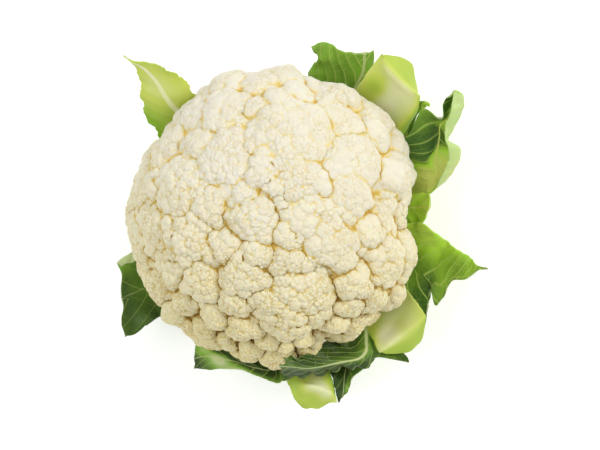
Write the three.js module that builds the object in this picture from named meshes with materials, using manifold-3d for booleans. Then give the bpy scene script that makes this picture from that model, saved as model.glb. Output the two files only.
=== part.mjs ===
// A head of cauliflower as it is sold: one curd of florets on a cut stalk, inside a ring of trimmed leaves.
// Millimetres, +Z up. The origin is the middle of the stalk's cut face, which the head stands on.
import * as THREE from "three";
import { mergeVertices } from "three/addons/utils/BufferGeometryUtils.js";
import Module from "manifold-3d";

const wasm = await Module();
wasm.setup();

// ---- Driving dimensions ----
const STALK = {
  cutRadius: 27, // at the cut face
  neckRadius: 23, // under the curd
  topHeight: 35.6, // on the axis
  sides: 32,
};
const CURD = {
  centre: 64, // height of the curd's widest level
  radiusX: 73, // half its width, to the bottom of the creases between florets
  radiusY: 76, // half its depth, to the same level
  rise: 55, // from the widest level to the top, also to the creases
  drop: 28, // from the widest level down to the underside
  detail: 15, // subdivisions of the icosahedron that the surface starts as
};
const FLORET = {
  proudBase: 5, // how far a floret of no size would stand out of the creases
  proudShare: 0.2, // and how much of its radius is added to that
  lowestAngle: 112, // degrees from the top, past which the curd has no florets
  fillRadius: 12, // floret that closes a place with no listed one
  fillTries: 260,
  spacing: 0.74, // distance between two florets over the sum of their radii
};
const GAP = 0.3; // between pieces that grow out of each other
const LEAF = {
  blade: 1.6, // thickness of the blade
  ribBase: 6, // thickness of the midrib at the stalk
  ribEnd: 2.8, // and at the leaf's end
  ribSpread: 7, // half-width of the thickened middle
  along: 12, // faces along a leaf
  across: 8, // faces across it
};

// Florets of the curd's upper side: across, up and radius, as the head is seen from above with its near side
// on the right, VIEW_LEAN degrees off the vertical. Across and up are measured from the middle of the curd.
const VIEW_LEAN = 11;
const FLORETS = [
  // round the crown
  [-12, -2, 12], [-17, 15, 9], [-28, 15, 6.5], [1, 16, 7.5], [5, 8, 5], [-9, 27, 11], [9, -10, 8.5],
  [-8, -22, 8.5], [-29, -17, 9], [-39, 6, 11], [-39, -21, 7], [18, 0, 12], [10, -25, 11],
  // second ring
  [17, 22, 14.5], [10, 49, 22], [-28, 35, 16], [-55, 18, 15], [-44, 43, 10], [34, 2, 8], [33, -16, 16],
  [44, 11, 13], [44, 34, 16], [-16, -36, 15.5], [11, -53, 21], [-52, -13, 15], [-41, -38, 12.5],
  [-23, -50, 12], [47, -38, 11.5], [56, -9, 9], [40, 55, 11], [4, 65, 11], [-12, 64, 8], [-28, 62, 14],
  // the edge, anticlockwise from the right
  [75, -16, 14], [68, 15, 15], [72, 36, 13], [55, 59, 15], [31, 67, 10], [-6, 79, 14], [-47, 61, 11],
  [-63, 44, 12], [-78, 19, 13], [-79, -13, 14], [-68, -41, 11], [-56, -54, 10], [-43, -65, 8.5],
  [-28, -75, 7.5], [-17, -65, 10], [-13, -79, 7], [-3, -74, 7], [7, -76, 6], [17, -74, 6.5],
  [25, -76, 6.5], [35, -64, 9], [50, -63, 9], [44, -52, 9.5], [66, -39, 13],
];

// A leaf's stations run from inside the stalk to its end: distance from the axis, height, bearing in degrees,
// half-width on the left and right as seen from the stalk, and how far each side bends towards the curd, in
// degrees. ends, where it is there, says how much of the length the leaf has at its right margin, half-way,
// midrib, half-way and left margin.
const LEAVES = {
  leaf_top_left: {
    stations: [
      [20, 28, 133, 9, 9, 8, 8], [44, 29, 133, 13, 13, 10, 10], [65, 36, 133, 17, 17, 12, 12],
      [83, 51, 133, 19, 19, 16, 16], [96, 65, 133, 14, 15, 20, 20], [109, 74, 133, 8, 9, 24, 24],
      [123, 78, 134, 1.2, 1.2, 10, 10],
    ],
  },
  leaf_top: {
    stations: [
      [20, 7, 67, 9, 9, 6, 6], [48, 7.5, 67, 15, 12, 8, 8], [71, 17, 66, 20, 12, 10, 10],
      [86, 36, 65, 25, 10, 14, 14], [94, 51, 64, 28, 8, 12, 12], [101, 60, 64, 28, 6, 4, 4],
    ],
    ends: [0.93, 0.97, 0.95, 0.94, 1],
  },
  leaf_top_right: {
    stations: [
      [20, 22, 48, 9, 9, 8, 8], [46, 23, 48, 15, 15, 12, 12], [67, 31, 48, 18, 18, 20, 20],
      [84, 46, 48.5, 19, 18, 28, 28], [97, 60, 49, 18, 16, 24, 24], [106, 61, 49, 14, 13, 10, 10],
      [112, 55, 49, 9, 9, 4, 4],
    ],
  },
  leaf_right_swept: {
    stations: [
      [20, 15, 14, 9, 9, 6, 6], [47, 15.5, 12, 14, 11, 10, 10], [69, 25, 9, 18, 9, 16, 20],
      [86, 38, 10, 22, 8, 24, 30], [98, 46, 19, 25, 9, 26, 60], [109, 54, 27, 22, 10, 24, 75],
      [120, 61, 34, 12, 8, 14, 60],
    ],
    ends: [1, 1, 1, 0.96, 0.93],
  },
  leaf_right_inner: {
    stations: [
      [20, 29, 4, 8, 8, 8, 8], [44, 30, 3, 10, 10, 10, 10], [65, 36, 2, 11, 11, 14, 14],
      [79, 48, 1, 11, 11, 16, 16], [87, 57, 0, 9, 9, 16, 16],
    ],
  },
  leaf_right: {
    stations: [
      [20, 7, 336, 9, 9, 6, 6], [48, 7.5, 337, 16, 14, 8, 8], [72, 16, 339, 24, 16, 10, 10],
      [88, 28, 340, 28, 17, 12, 12], [103, 37, 341, 26, 13, 10, 10], [120, 42, 344, 13, 7, 8, 8],
    ],
    ends: [0.82, 0.84, 0.9, 0.97, 1],
  },
  leaf_lower_right: {
    stations: [
      [20, 15, 318, 8.5, 8.5, 8, 8], [47, 15.5, 318.5, 15, 15, 12, 12], [69, 25, 319, 18, 17, 20, 20],
      [85, 41, 319, 18, 18, 28, 28], [95, 53, 318.5, 16, 17, 22, 22], [101, 53, 318, 13, 14, 10, 10],
      [106, 47, 318, 8, 8, 4, 4],
    ],
  },
  leaf_bottom_dark: {
    stations: [
      [20, 7, 292, 8, 8, 6, 6], [48, 7.5, 295, 13, 14, 8, 8], [71, 16, 297, 16, 16, 12, 12],
      [88, 30, 297, 16, 14, 16, 16], [98, 41, 296, 12, 9, 14, 14],
    ],
    ends: [0.96, 1, 0.98, 0.95, 0.9],
  },
  leaf_bottom_curled: {
    stations: [
      [20, 29, 300, 8, 8, 6, 6], [44, 30, 301, 10, 10, 8, 8], [64, 36, 302, 12, 10, 12, 12],
      [79, 47, 303, 12, 10, 16, 16], [90, 59, 300, 13, 11, 20, 20], [94, 65, 288, 8, 13, 24, 24],
      [91, 67, 272, 5, 8, 22, 22],
    ],
  },
  leaf_bottom: {
    stations: [
      [20, 15, 272, 8, 8, 8, 8], [47, 15.5, 275, 15, 14, 12, 12], [69, 25, 278, 17, 15, 18, 18],
      [86, 40, 279, 17, 16, 22, 22], [96, 50, 279.5, 16, 15, 18, 18], [103, 49, 279, 13, 13, 8, 8],
      [108, 43, 278, 7, 8, 4, 4],
    ],
  },
  leaf_bottom_left: {
    stations: [
      [20, 22, 253, 8, 8, 6, 6], [46, 24, 254, 9, 12, 8, 8], [67, 33, 258, 9, 14, 12, 12],
      [81, 43, 261, 8, 15, 14, 14], [91, 49, 258, 6, 15, 14, 14], [94, 51, 249, 7, 14, 12, 12],
      [95, 50, 241, 9, 9, 8, 8],
    ],
  },
  leaf_left: {
    stations: [
      [20, 7, 206, 9, 9, 6, 6], [48, 7.5, 206, 15, 15, 8, 8], [70, 16, 206, 19, 19, 10, 10],
      [86, 29, 206, 20, 20, 12, 12], [97, 37, 206, 20, 19, 10, 10], [107, 41, 206, 17, 16, 8, 8],
    ],
    ends: [0.84, 0.86, 0.91, 0.96, 1],
  },
  leaf_back_left: {
    stations: [
      [20, 15, 182, 9, 9, 8, 8], [45, 15.5, 182, 15, 15, 12, 12], [63, 23, 181, 18, 18, 18, 18],
      [75, 36, 180, 18, 18, 24, 24], [79, 48, 180, 14, 14, 20, 20],
    ],
  },
  leaf_back: {
    stations: [
      [20, 7, 158, 9, 9, 6, 6], [47, 7.5, 157, 16, 16, 10, 10], [67, 16, 156, 19, 19, 16, 16],
      [79, 30, 155, 20, 20, 20, 20], [84, 43, 155, 17, 17, 16, 16],
    ],
    ends: [0.94, 1, 1, 0.97, 0.9],
  },
  leaf_far: {
    stations: [
      [20, 15, 100, 9, 9, 8, 8], [45, 15.5, 100, 15, 15, 12, 12], [63, 23, 100, 18, 18, 18, 18],
      [75, 36, 100, 18, 18, 24, 24], [79, 48, 100, 13, 13, 20, 20],
    ],
    ends: [0.9, 0.97, 1, 1, 0.95],
  },
  leaf_left_inner: {
    stations: [
      [20, 29, 228, 8, 8, 8, 8], [44, 30, 228, 11, 11, 10, 10], [62, 35, 228, 12, 12, 14, 14],
      [75, 44, 228, 11, 11, 16, 16], [82, 51, 228, 7, 7, 16, 16],
    ],
  },
};

const COLOURS = { curd: 0xefe6c8, stalk: 0xdfe3b4, pale: 0xb9cc6a, green: 0x5c9138, dark: 0x3f6d2c };
const LEAF_COLOURS = {
  leaf_top_left: COLOURS.pale,
  leaf_top_right: COLOURS.pale,
  leaf_lower_right: COLOURS.pale,
  leaf_bottom: COLOURS.pale,
  leaf_top: COLOURS.dark,
  leaf_left: COLOURS.dark,
  leaf_bottom_dark: COLOURS.dark,
  leaf_bottom_curled: COLOURS.dark,
};

// ---- Helpers ----
const radians = (degrees) => (degrees * Math.PI) / 180;

function solidOf(geometry) {
  const bare = geometry.clone();
  bare.deleteAttribute("normal");
  bare.deleteAttribute("uv");
  const merged = mergeVertices(bare, 1e-4);
  return new wasm.Manifold(
    new wasm.Mesh({
      numProp: 3,
      vertProperties: new Float32Array(merged.attributes.position.array),
      triVerts: new Uint32Array(merged.index.array),
    }),
  );
}

function geometryOf(solid) {
  const mesh = solid.getMesh();
  const geometry = new THREE.BufferGeometry();
  geometry.setAttribute("position", new THREE.BufferAttribute(mesh.vertProperties, 3));
  geometry.setIndex(new THREE.BufferAttribute(mesh.triVerts, 1));
  geometry.computeVertexNormals();
  return geometry;
}

function pieceOf(name, geometry, colour, roughness) {
  const material = new THREE.MeshStandardMaterial({ color: colour, roughness, metalness: 0 });
  const mesh = new THREE.Mesh(geometry, material);
  mesh.name = name;
  return mesh;
}

// Uniform Catmull-Rom through rows of numbers, with t from 0 to 1.
function rowAt(rows, t) {
  const place = Math.min(Math.max(t, 0), 1) * (rows.length - 1);
  const i = Math.min(Math.floor(place), rows.length - 2);
  const f = place - i;
  const row = (k) => rows[Math.min(Math.max(k, 0), rows.length - 1)];
  return rows[i].map((_, k) => {
    const [a, b, c, d] = [row(i - 1)[k], row(i)[k], row(i + 1)[k], row(i + 2)[k]];
    const [bend, swing] = [2 * a - 5 * b + 4 * c - d, 3 * (b - c) + d - a];
    return b + 0.5 * f * (c - a + f * (bend + f * swing));
  });
}

// ---- The curd ----
// Distance from the curd's centre to the level of its creases, in a direction.
function creaseDistance(direction) {
  const height = direction.z > 0 ? CURD.rise : CURD.drop;
  return 1 / Math.hypot(direction.x / CURD.radiusX, direction.y / CURD.radiusY, direction.z / height);
}

function creaseNormal(direction) {
  const height = direction.z > 0 ? CURD.rise : CURD.drop;
  return new THREE.Vector3(
    direction.x / CURD.radiusX ** 2,
    direction.y / CURD.radiusY ** 2,
    direction.z / height ** 2,
  ).normalize();
}

function floretAt(direction, radius) {
  const seat = direction.clone().multiplyScalar(creaseDistance(direction));
  const proud = FLORET.proudBase + FLORET.proudShare * radius;
  const centre = seat.clone().addScaledVector(creaseNormal(direction), proud - radius);
  return { seat, centre, radius };
}

// The listed florets, placed on the curd, then a spiral of more that fills what they leave free.
function allFlorets() {
  const lean = radians(VIEW_LEAN);
  const across = new THREE.Vector3(Math.cos(lean), 0, -Math.sin(lean));
  const towards = new THREE.Vector3(Math.sin(lean), 0, Math.cos(lean));
  const proud = FLORET.proudBase + FLORET.proudShare * FLORET.fillRadius;
  const squash = new THREE.Vector3(CURD.radiusX, CURD.radiusY, CURD.rise).addScalar(proud);
  const made = FLORETS.map(([u, v, radius]) => {
    // Where the line of sight through (u, v) meets the florets' mean level.
    const start = across.clone().multiplyScalar(u).setY(v);
    const [p, d] = [start.clone().divide(squash), towards.clone().divide(squash)];
    const [a, b, c] = [d.lengthSq(), p.dot(d), p.lengthSq() - 1];
    const depth = (Math.sqrt(Math.max(0, b * b - a * c)) - b) / a;
    return floretAt(start.addScaledVector(towards, depth).normalize(), radius);
  });
  const golden = Math.PI * (3 - Math.sqrt(5));
  const lowest = Math.cos(radians(FLORET.lowestAngle));
  for (let i = 0; i < FLORET.fillTries; i++) {
    const z = 1 - ((1 - lowest) * (i + 0.5)) / FLORET.fillTries;
    const ring = Math.sqrt(1 - z * z);
    const direction = new THREE.Vector3(ring * Math.cos(i * golden), ring * Math.sin(i * golden), z);
    const next = floretAt(direction, FLORET.fillRadius);
    const free = made.every(
      (other) => other.seat.distanceTo(next.seat) > FLORET.spacing * (other.radius + next.radius),
    );
    if (free) made.push(next);
  }
  return made;
}

// How far out the curd reaches in a direction: the furthest floret there, or the crease level.
function curdDistance(direction, florets) {
  let reach = creaseDistance(direction);
  for (const { centre, radius } of florets) {
    const along = direction.dot(centre);
    const inside = radius * radius - centre.lengthSq() + along * along;
    if (inside > 0) reach = Math.max(reach, along + Math.sqrt(inside));
  }
  return reach;
}

function curdGeometry() {
  const florets = allFlorets();
  const geometry = new THREE.IcosahedronGeometry(1, CURD.detail);
  const points = geometry.attributes.position;
  const direction = new THREE.Vector3();
  for (let i = 0; i < points.count; i++) {
    direction.fromBufferAttribute(points, i).normalize();
    const reach = curdDistance(direction, florets);
    points.setXYZ(i, direction.x * reach, direction.y * reach, direction.z * reach + CURD.centre);
  }
  return geometry;
}

// ---- The stalk ----
// A turned stump whose top follows the curd's underside, grown by some clearance.
function stalkGeometry(grow) {
  const underside = (r) => CURD.centre - CURD.drop * Math.sqrt(1 - (r / CURD.radiusY) ** 2) - GAP - 0.1;
  const profile = [
    [0, -grow],
    [STALK.cutRadius + grow, -grow],
    [STALK.cutRadius - 0.5 + grow, 10],
    [STALK.neckRadius + 0.8 + grow, 24],
    [STALK.neckRadius + grow, underside(STALK.neckRadius)],
    [STALK.neckRadius * 0.55, underside(STALK.neckRadius * 0.55)],
    [0, STALK.topHeight],
  ].map(([r, z]) => new THREE.Vector2(r, z));
  return new THREE.LatheGeometry(profile, STALK.sides).rotateX(Math.PI / 2);
}

// ---- The leaves ----
// Position and frame of a leaf's midrib at the t of each row of faces, carried along without twisting.
function midrib(stations, t) {
  const at = (s) => {
    const [r, z, bearing] = rowAt(stations, s);
    return new THREE.Vector3(r * Math.cos(radians(bearing)), r * Math.sin(radians(bearing)), z);
  };
  const steps = 24;
  const bearing = radians(stations[0][2]);
  const side = new THREE.Vector3(-Math.sin(bearing), Math.cos(bearing), 0);
  const tangent = new THREE.Vector3();
  for (let k = 0; k <= steps; k++) {
    const s = (t * k) / steps;
    tangent.copy(at(Math.min(s + 0.01, 1))).sub(at(Math.min(s + 0.01, 1) - 0.02)).normalize();
    side.addScaledVector(tangent, -side.dot(tangent)).normalize();
  }
  return { place: at(t), side, inward: new THREE.Vector3().crossVectors(tangent, side) };
}

// A point of the leaf's middle surface: t along it, v from -1 at the right margin to 1 at the left.
function leafPoint(leaf, u, v) {
  const ends = leaf.ends ?? [1, 1, 1, 1, 1];
  const [end] = rowAt(ends.map((e) => [e]), (v + 1) / 2);
  const t = u * end;
  const { place, side, inward } = midrib(leaf.stations, t);
  const [, , , left, right, bendLeft, bendRight] = rowAt(leaf.stations, t);
  const width = v > 0 ? left : right;
  const bend = radians(v > 0 ? bendLeft : bendRight) * 2 || 1e-6;
  const turn = bend * Math.abs(v);
  const out = (width * Math.sin(turn)) / bend;
  const up = (width * (1 - Math.cos(turn))) / bend;
  return place.addScaledVector(side, Math.sign(v) * out).addScaledVector(inward, up);
}

// The side of the leaf that faces the curd.
function leafNormal(leaf, u, v) {
  const near = 0.004;
  const [ahead, beside] = [Math.min(u + near, 1), Math.min(v + near, 1)];
  const forward = leafPoint(leaf, ahead, v).sub(leafPoint(leaf, ahead - 2 * near, v));
  const sideways = leafPoint(leaf, u, beside).sub(leafPoint(leaf, u, beside - 2 * near));
  return forward.cross(sideways).normalize();
}

// How much thicker than the blade the leaf is, on its outer side.
function ribThickness(leaf, u, v) {
  const [, , , left, right] = rowAt(leaf.stations, u);
  const fromMiddle = v * (v > 0 ? left : right);
  const height = LEAF.ribBase + (LEAF.ribEnd - LEAF.ribBase) * u - LEAF.blade;
  return height * Math.exp(-((fromMiddle / LEAF.ribSpread) ** 2));
}

function leafSolid(leaf) {
  const { along, across } = LEAF;
  const positions = [];
  for (let i = 0; i <= along; i++) {
    for (let j = 0; j <= across; j++) {
      const [u, v] = [i / along, (2 * j) / across - 1];
      const middle = leafPoint(leaf, u, v);
      const normal = leafNormal(leaf, u, v);
      const under = -LEAF.blade / 2 - ribThickness(leaf, u, v);
      positions.push(middle.clone().addScaledVector(normal, LEAF.blade / 2));
      positions.push(middle.clone().addScaledVector(normal, under));
    }
  }
  const row = across + 1;
  const upper = (i, j) => 2 * (i * row + j);
  const lower = (i, j) => upper(i, j) + 1;
  const faces = [];
  const quad = (a, b, c, d) => faces.push(a, b, c, a, c, d);
  for (let i = 0; i < along; i++) {
    for (let j = 0; j < across; j++) {
      quad(upper(i, j), upper(i + 1, j), upper(i + 1, j + 1), upper(i, j + 1));
      quad(lower(i, j), lower(i, j + 1), lower(i + 1, j + 1), lower(i + 1, j));
    }
    quad(upper(i, 0), lower(i, 0), lower(i + 1, 0), upper(i + 1, 0));
    quad(upper(i + 1, across), lower(i + 1, across), lower(i, across), upper(i, across));
  }
  for (let j = 0; j < across; j++) {
    quad(upper(0, j + 1), lower(0, j + 1), lower(0, j), upper(0, j));
    quad(upper(along, j), lower(along, j), lower(along, j + 1), upper(along, j + 1));
  }
  return new wasm.Manifold(
    new wasm.Mesh({
      numProp: 3,
      vertProperties: new Float32Array(positions.flatMap((p) => [p.x, p.y, p.z])),
      triVerts: new Uint32Array(faces),
    }),
  );
}

// ---- The whole head ----
const cauliflower = new THREE.Group();
cauliflower.add(pieceOf("curd", curdGeometry(), COLOURS.curd, 0.7));
cauliflower.add(pieceOf("stalk", stalkGeometry(0), COLOURS.stalk, 0.6));

const stalkRoom = solidOf(stalkGeometry(GAP));
for (const [name, leaf] of Object.entries(LEAVES)) {
  const grown = leafSolid(leaf).subtract(stalkRoom);
  const [largest] = grown.decompose().sort((a, b) => b.volume() - a.volume());
  cauliflower.add(pieceOf(name, geometryOf(largest), LEAF_COLOURS[name] ?? COLOURS.green, 0.55));
}

export default cauliflower;
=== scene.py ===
"""A whole cauliflower: a granular cream curd on its cut stalk, in a ring of trimmed green leaves."""

import math

import bpy
import numpy as np
from mathutils import Matrix, Vector


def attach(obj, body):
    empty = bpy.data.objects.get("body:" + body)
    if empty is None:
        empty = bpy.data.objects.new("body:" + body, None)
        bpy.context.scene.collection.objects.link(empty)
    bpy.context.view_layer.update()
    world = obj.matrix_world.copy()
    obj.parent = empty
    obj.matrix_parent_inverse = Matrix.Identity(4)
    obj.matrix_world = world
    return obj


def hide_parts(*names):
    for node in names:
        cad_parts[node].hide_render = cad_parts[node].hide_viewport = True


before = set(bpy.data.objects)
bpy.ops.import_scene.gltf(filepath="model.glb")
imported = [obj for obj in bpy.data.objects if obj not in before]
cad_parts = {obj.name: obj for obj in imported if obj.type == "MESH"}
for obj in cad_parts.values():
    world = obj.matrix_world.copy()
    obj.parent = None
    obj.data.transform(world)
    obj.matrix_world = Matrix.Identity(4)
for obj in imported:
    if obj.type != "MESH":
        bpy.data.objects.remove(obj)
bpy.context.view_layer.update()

# Places and sizes are in millimetres unless a comment says otherwise. MM turns them into the scene's metres.
MM = 0.001
GOLDEN = math.pi * (3 - math.sqrt(5))

# ---------------------------------------------------------------- camera, floor and light
VIEW_LEAN = 11  # degrees off the vertical, towards +X
LENS = 110
SENSOR = 36
FRAME_WIDTH = 336 * MM  # what the frame spans at the curd's widest level
AIM = (14, -4)  # from the curd's middle to the frame's, across and up
CURD_CENTRE = 64
NEAREST_SEEN = 0.01  # metres
FLOOR_HALF = 6  # metres from the floor's middle to its edges
FLOOR_WHITE = (0.98, 0.98, 0.98, 1)
FLOOR_GLOW = 0.24  # the floor is a table lit from below
STUDIO_COLOUR = (0.95, 0.97, 1.0, 1)
STUDIO_STRENGTH = 0.57
LAMPS = {  # place and width in metres, power in watts, and colour
    "key": ((1.1, 0.5, 1.0), 0.5, 10.2, (1.0, 0.98, 0.93)),
    "overhead": ((-0.6, 0.1, 1.42), 1.2, 8.4, (1.0, 0.99, 0.97)),
}
LAMP_TARGET = (0, 0, 0.05)  # metres


def view_axes():
    """Directions to the right, up and towards the camera as it sees them."""
    lean = math.radians(VIEW_LEAN)
    return np.array([[math.cos(lean), 0, -math.sin(lean)], [0, 1, 0], [math.sin(lean), 0, math.cos(lean)]])


def make_camera():
    across, up, towards = (Vector(axis) for axis in view_axes())
    camera = bpy.data.objects.new("camera", bpy.data.cameras.new("camera"))
    camera.data.lens = LENS
    camera.data.sensor_width = SENSOR
    distance = FRAME_WIDTH * LENS / SENSOR
    aim = Vector((0, 0, CURD_CENTRE * MM)) + across * AIM[0] * MM + up * AIM[1] * MM
    turn = Matrix((across, up, towards)).transposed().to_4x4()
    camera.matrix_world = Matrix.Translation(aim + towards * distance) @ turn
    camera.data.clip_start = NEAREST_SEEN
    bpy.context.scene.collection.objects.link(camera)
    bpy.context.scene.camera = camera


def make_floor():
    ends = (-FLOOR_HALF, FLOOR_HALF)
    corners = [(ends[0], ends[0], 0), (ends[1], ends[0], 0), (ends[1], ends[1], 0), (ends[0], ends[1], 0)]
    floor = new_thing("floor", corners, [(0, 1, 2, 3)], unit=1)
    settings = {"Base Color": FLOOR_WHITE, "Roughness": 0.9, "Specular IOR Level": 0.1}
    glow = {"Emission Color": (1, 1, 1, 1), "Emission Strength": FLOOR_GLOW}
    material, _, _ = new_material("pale_floor", {**settings, **glow})
    floor.data.materials.append(material)


def make_lamp(name, place, size, watts, colour):
    lamp = bpy.data.lights.new(name, "AREA")
    lamp.shape = "DISK"
    lamp.size = size
    lamp.energy = watts
    lamp.color = colour
    holder = bpy.data.objects.new(name, lamp)
    holder.location = place
    aim = Vector(place) - Vector(LAMP_TARGET)
    holder.rotation_euler = aim.to_track_quat("Z", "Y").to_euler()
    bpy.context.scene.collection.objects.link(holder)


def make_light():
    scene = bpy.context.scene
    world = bpy.data.worlds.new("studio")
    world.use_nodes = True
    background = world.node_tree.nodes["Background"]
    background.inputs["Color"].default_value = STUDIO_COLOUR
    background.inputs["Strength"].default_value = STUDIO_STRENGTH
    scene.world = world
    for name, lamp in LAMPS.items():
        make_lamp(name, *lamp)
    scene.view_settings.view_transform = "Standard"
    scene.view_settings.look = "None"


# ---------------------------------------------------------------- node trees
def pick(sockets, key):
    """A node's socket by its name, or by its place among those in use."""
    live = [s for s in sockets if s.enabled]
    if isinstance(key, int):
        return live[key]
    return next(s for s in live if s.name == key)


class Graph:
    """A node tree that is being built, with one call for each node."""

    def __init__(self, tree):
        self.tree = tree

    def add(self, kind, inputs=None, **settings):
        node = self.tree.nodes.new(kind)
        for key, value in settings.items():
            setattr(node, key, value)
        for key, value in (inputs or {}).items():
            self.feed(node, key, value)
        return node

    def feed(self, node, key, value):
        target = pick(node.inputs, key)
        if isinstance(value, bpy.types.Node):
            value = pick(value.outputs, 0)
        if isinstance(value, bpy.types.NodeSocket):
            self.tree.links.new(value, target)
        else:
            target.default_value = value

    def maths(self, operation, *values):
        return self.add("ShaderNodeMath", dict(enumerate(values)), operation=operation)

    def times(self, a, b):
        return self.maths("MULTIPLY", a, b)

    def plus(self, a, b):
        return self.maths("ADD", a, b)

    def minus(self, a, b):
        return self.maths("SUBTRACT", a, b)

    def vector(self, operation, *values):
        return self.add("ShaderNodeVectorMath", dict(enumerate(values)), operation=operation)

    def scaled(self, vector, factor):
        return self.add("ShaderNodeVectorMath", {"Vector": vector, "Scale": factor}, operation="SCALE")

    def blend(self, factor, a, b):
        return self.add("ShaderNodeMix", {"Factor": factor, "A": a, "B": b}, data_type="VECTOR")

    def colours(self, factor, a, b):
        return self.add("ShaderNodeMix", {"Factor": factor, "A": a, "B": b}, data_type="RGBA")

    def between(self, value, low, high, to_low=0.0, to_high=1.0):
        """The value's place between low and high, as a smooth step."""
        values = {"Value": value, "From Min": low, "From Max": high, "To Min": to_low, "To Max": to_high}
        return self.add("ShaderNodeMapRange", values, interpolation_type="SMOOTHSTEP", clamp=True)

    # in a geometry tree
    def read(self, name, kind="FLOAT"):
        return self.add("GeometryNodeInputNamedAttribute", {"Name": name}, data_type=kind)

    def store(self, geometry, name, value, kind="FLOAT"):
        values = {"Geometry": geometry, "Name": name, "Value": value}
        return self.add("GeometryNodeStoreNamedAttribute", values, data_type=kind, domain="POINT")

    def move(self, geometry, place):
        return self.add("GeometryNodeSetPosition", {"Geometry": geometry, "Position": place})

    def fetch(self, geometry, value, index, kind="FLOAT"):
        values = {"Geometry": geometry, "Value": value, "Index": index}
        return self.add("GeometryNodeSampleIndex", values, data_type=kind, domain="POINT")

    def nearest_point(self, geometry, place):
        values = {"Geometry": geometry, "Sample Position": place}
        return self.add("GeometryNodeSampleNearest", values, domain="POINT")

    def chance(self, low, high, seed, kind="FLOAT", **more):
        values = {0: low, 1: high, **more, "Seed": seed}
        return self.add("FunctionNodeRandomValue", values, data_type=kind)

    def smoothed(self, value, rounds, weight):
        values = {"Value": value, "Iterations": rounds, "Weight": weight}
        return self.add("GeometryNodeBlurAttribute", values, data_type="FLOAT_VECTOR")

    # in a material
    def stored(self, name):
        """A value that the mesh carries at its points."""
        return self.add("ShaderNodeAttribute", attribute_name=name).outputs["Fac"]

    def object_place(self):
        return self.add("ShaderNodeTexCoord").outputs["Object"]

    def noise(self, place, scale, detail):
        return self.add("ShaderNodeTexNoise", {"Vector": place, "Scale": scale, "Detail": detail})

    def bump(self, strength, distance, height):
        return self.add("ShaderNodeBump", {"Strength": strength, "Distance": distance, "Height": height})


def new_group(name, kind, inputs, outputs):
    """An empty node group with its sockets. Inputs are (name, type, default) and outputs (name, type)."""
    tree = bpy.data.node_groups.new(name, kind)
    for title, socket_type, default in inputs:
        socket = tree.interface.new_socket(title, in_out="INPUT", socket_type=socket_type)
        if default is not None:
            socket.default_value = default
    for title, socket_type in outputs:
        tree.interface.new_socket(title, in_out="OUTPUT", socket_type=socket_type)
    graph = Graph(tree)
    return graph, graph.add("NodeGroupInput"), graph.add("NodeGroupOutput")


def use_group(graph, tree, inputs):
    kind = "GeometryNodeGroup" if tree.bl_idname == "GeometryNodeTree" else "ShaderNodeGroup"
    node = graph.tree.nodes.new(kind)
    node.node_tree = tree
    for key, value in inputs.items():
        graph.feed(node, key, value)
    return node


def new_material(name, settings):
    """A material, the graph that builds it, and its shader, with the settings that are the same all over."""
    material = bpy.data.materials.new(name)
    material.use_nodes = True
    g = Graph(material.node_tree)
    shader = material.node_tree.nodes["Principled BSDF"]
    for key, value in settings.items():
        g.feed(shader, key, value)
    return material, g, shader


def through_light(weight, radius, depth):
    """Shader settings for light that spreads in a tissue: its share, each colour's reach, and their unit."""
    return {"Subsurface Weight": weight, "Subsurface Radius": radius, "Subsurface Scale": depth}


def run_growth(thing, tree, values):
    """Runs a geometry tree on an object and keeps its result as a plain mesh."""
    modifier = thing.modifiers.new("growth", "NODES")
    modifier.node_group = tree
    for item in tree.interface.items_tree:
        if item.item_type == "SOCKET" and item.in_out == "INPUT" and item.name in values:
            modifier[item.identifier] = values[item.name]
    graph = bpy.context.evaluated_depsgraph_get()
    grown = bpy.data.meshes.new_from_object(
        thing.evaluated_get(graph), preserve_all_data_layers=True, depsgraph=graph
    )
    thing.modifiers.remove(modifier)
    thing.data = grown


def new_thing(name, vertices, faces, edges=(), unit=MM):
    """An object at the origin, from the places of its vertices and lists of their numbers."""
    mesh = bpy.data.meshes.new(name)
    mesh.from_pydata((np.asarray(vertices) * unit).tolist(), edges, faces)
    thing = bpy.data.objects.new(name, mesh)
    bpy.context.scene.collection.objects.link(thing)
    return thing


def add_values(mesh, name, values, kind="FLOAT"):
    """Stores a value at each point of a mesh, for its growth or its material."""
    values = np.asarray(values, dtype=np.float32)
    layer = mesh.attributes.new(name, kind, "POINT")
    layer.data.foreach_set("vector" if kind == "FLOAT_VECTOR" else "value", values.ravel())


def hand_over(thing, node):
    """Smooths a finished piece, puts it under the root body and hides the node's imported part."""
    thing.data.polygons.foreach_set("use_smooth", [True] * len(thing.data.polygons))
    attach(thing, "root")
    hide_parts(node)


# ---------------------------------------------------------------- the curd's florets
CREASES = {"x": 75.5, "y": 77.5, "rise": 55, "drop": 28}  # half sizes of the level between florets
RIM = [  # bulges and dents in the curd's rim: bearing and half-width in degrees, and how far each stands out
    (1, 9, -8.5), (22, 7, 3), (38, 8, 4), (60, 5, 3), (71, 6, -4), (84, 6, 2.5), (110, 8, 3), (138, 14, -4),
    (180, 7, 4), (202, 7, 2.5), (222, 9, 4), (294, 8, -4.5), (327, 9, 3.5),
]
FLORET_MEAN_RISE = 6  # from that level to the florets' mean level
FLORET_TOP = 7  # and to the top of a large one
FLORET_EDGE = 4.6  # how far a floret's rounded edge rises
FLORET_EDGE_RUN = 3.8  # and over what distance
FLORET_DOME = 0.15  # how much more it rises for each mm towards its middle
FLORET_SPREAD = 1.12  # how far the listed florets have grown over each other
FLORET_FILL = (13, 9)  # radii of the florets that fill free places, first the large ones
FILL_SPREAD = 1.18  # and how far those have grown over each other
FLORET_TRIES = (260, 1500)  # places that are tried for each of those radii
FLORET_SPACING = 0.74  # least distance between two florets, for each mm of their radii
LOWEST_FLORET = 112  # degrees from the top
FLORET_BALL = 1.5  # radius of the ball that a floret's lobes grow on, over its own

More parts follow.
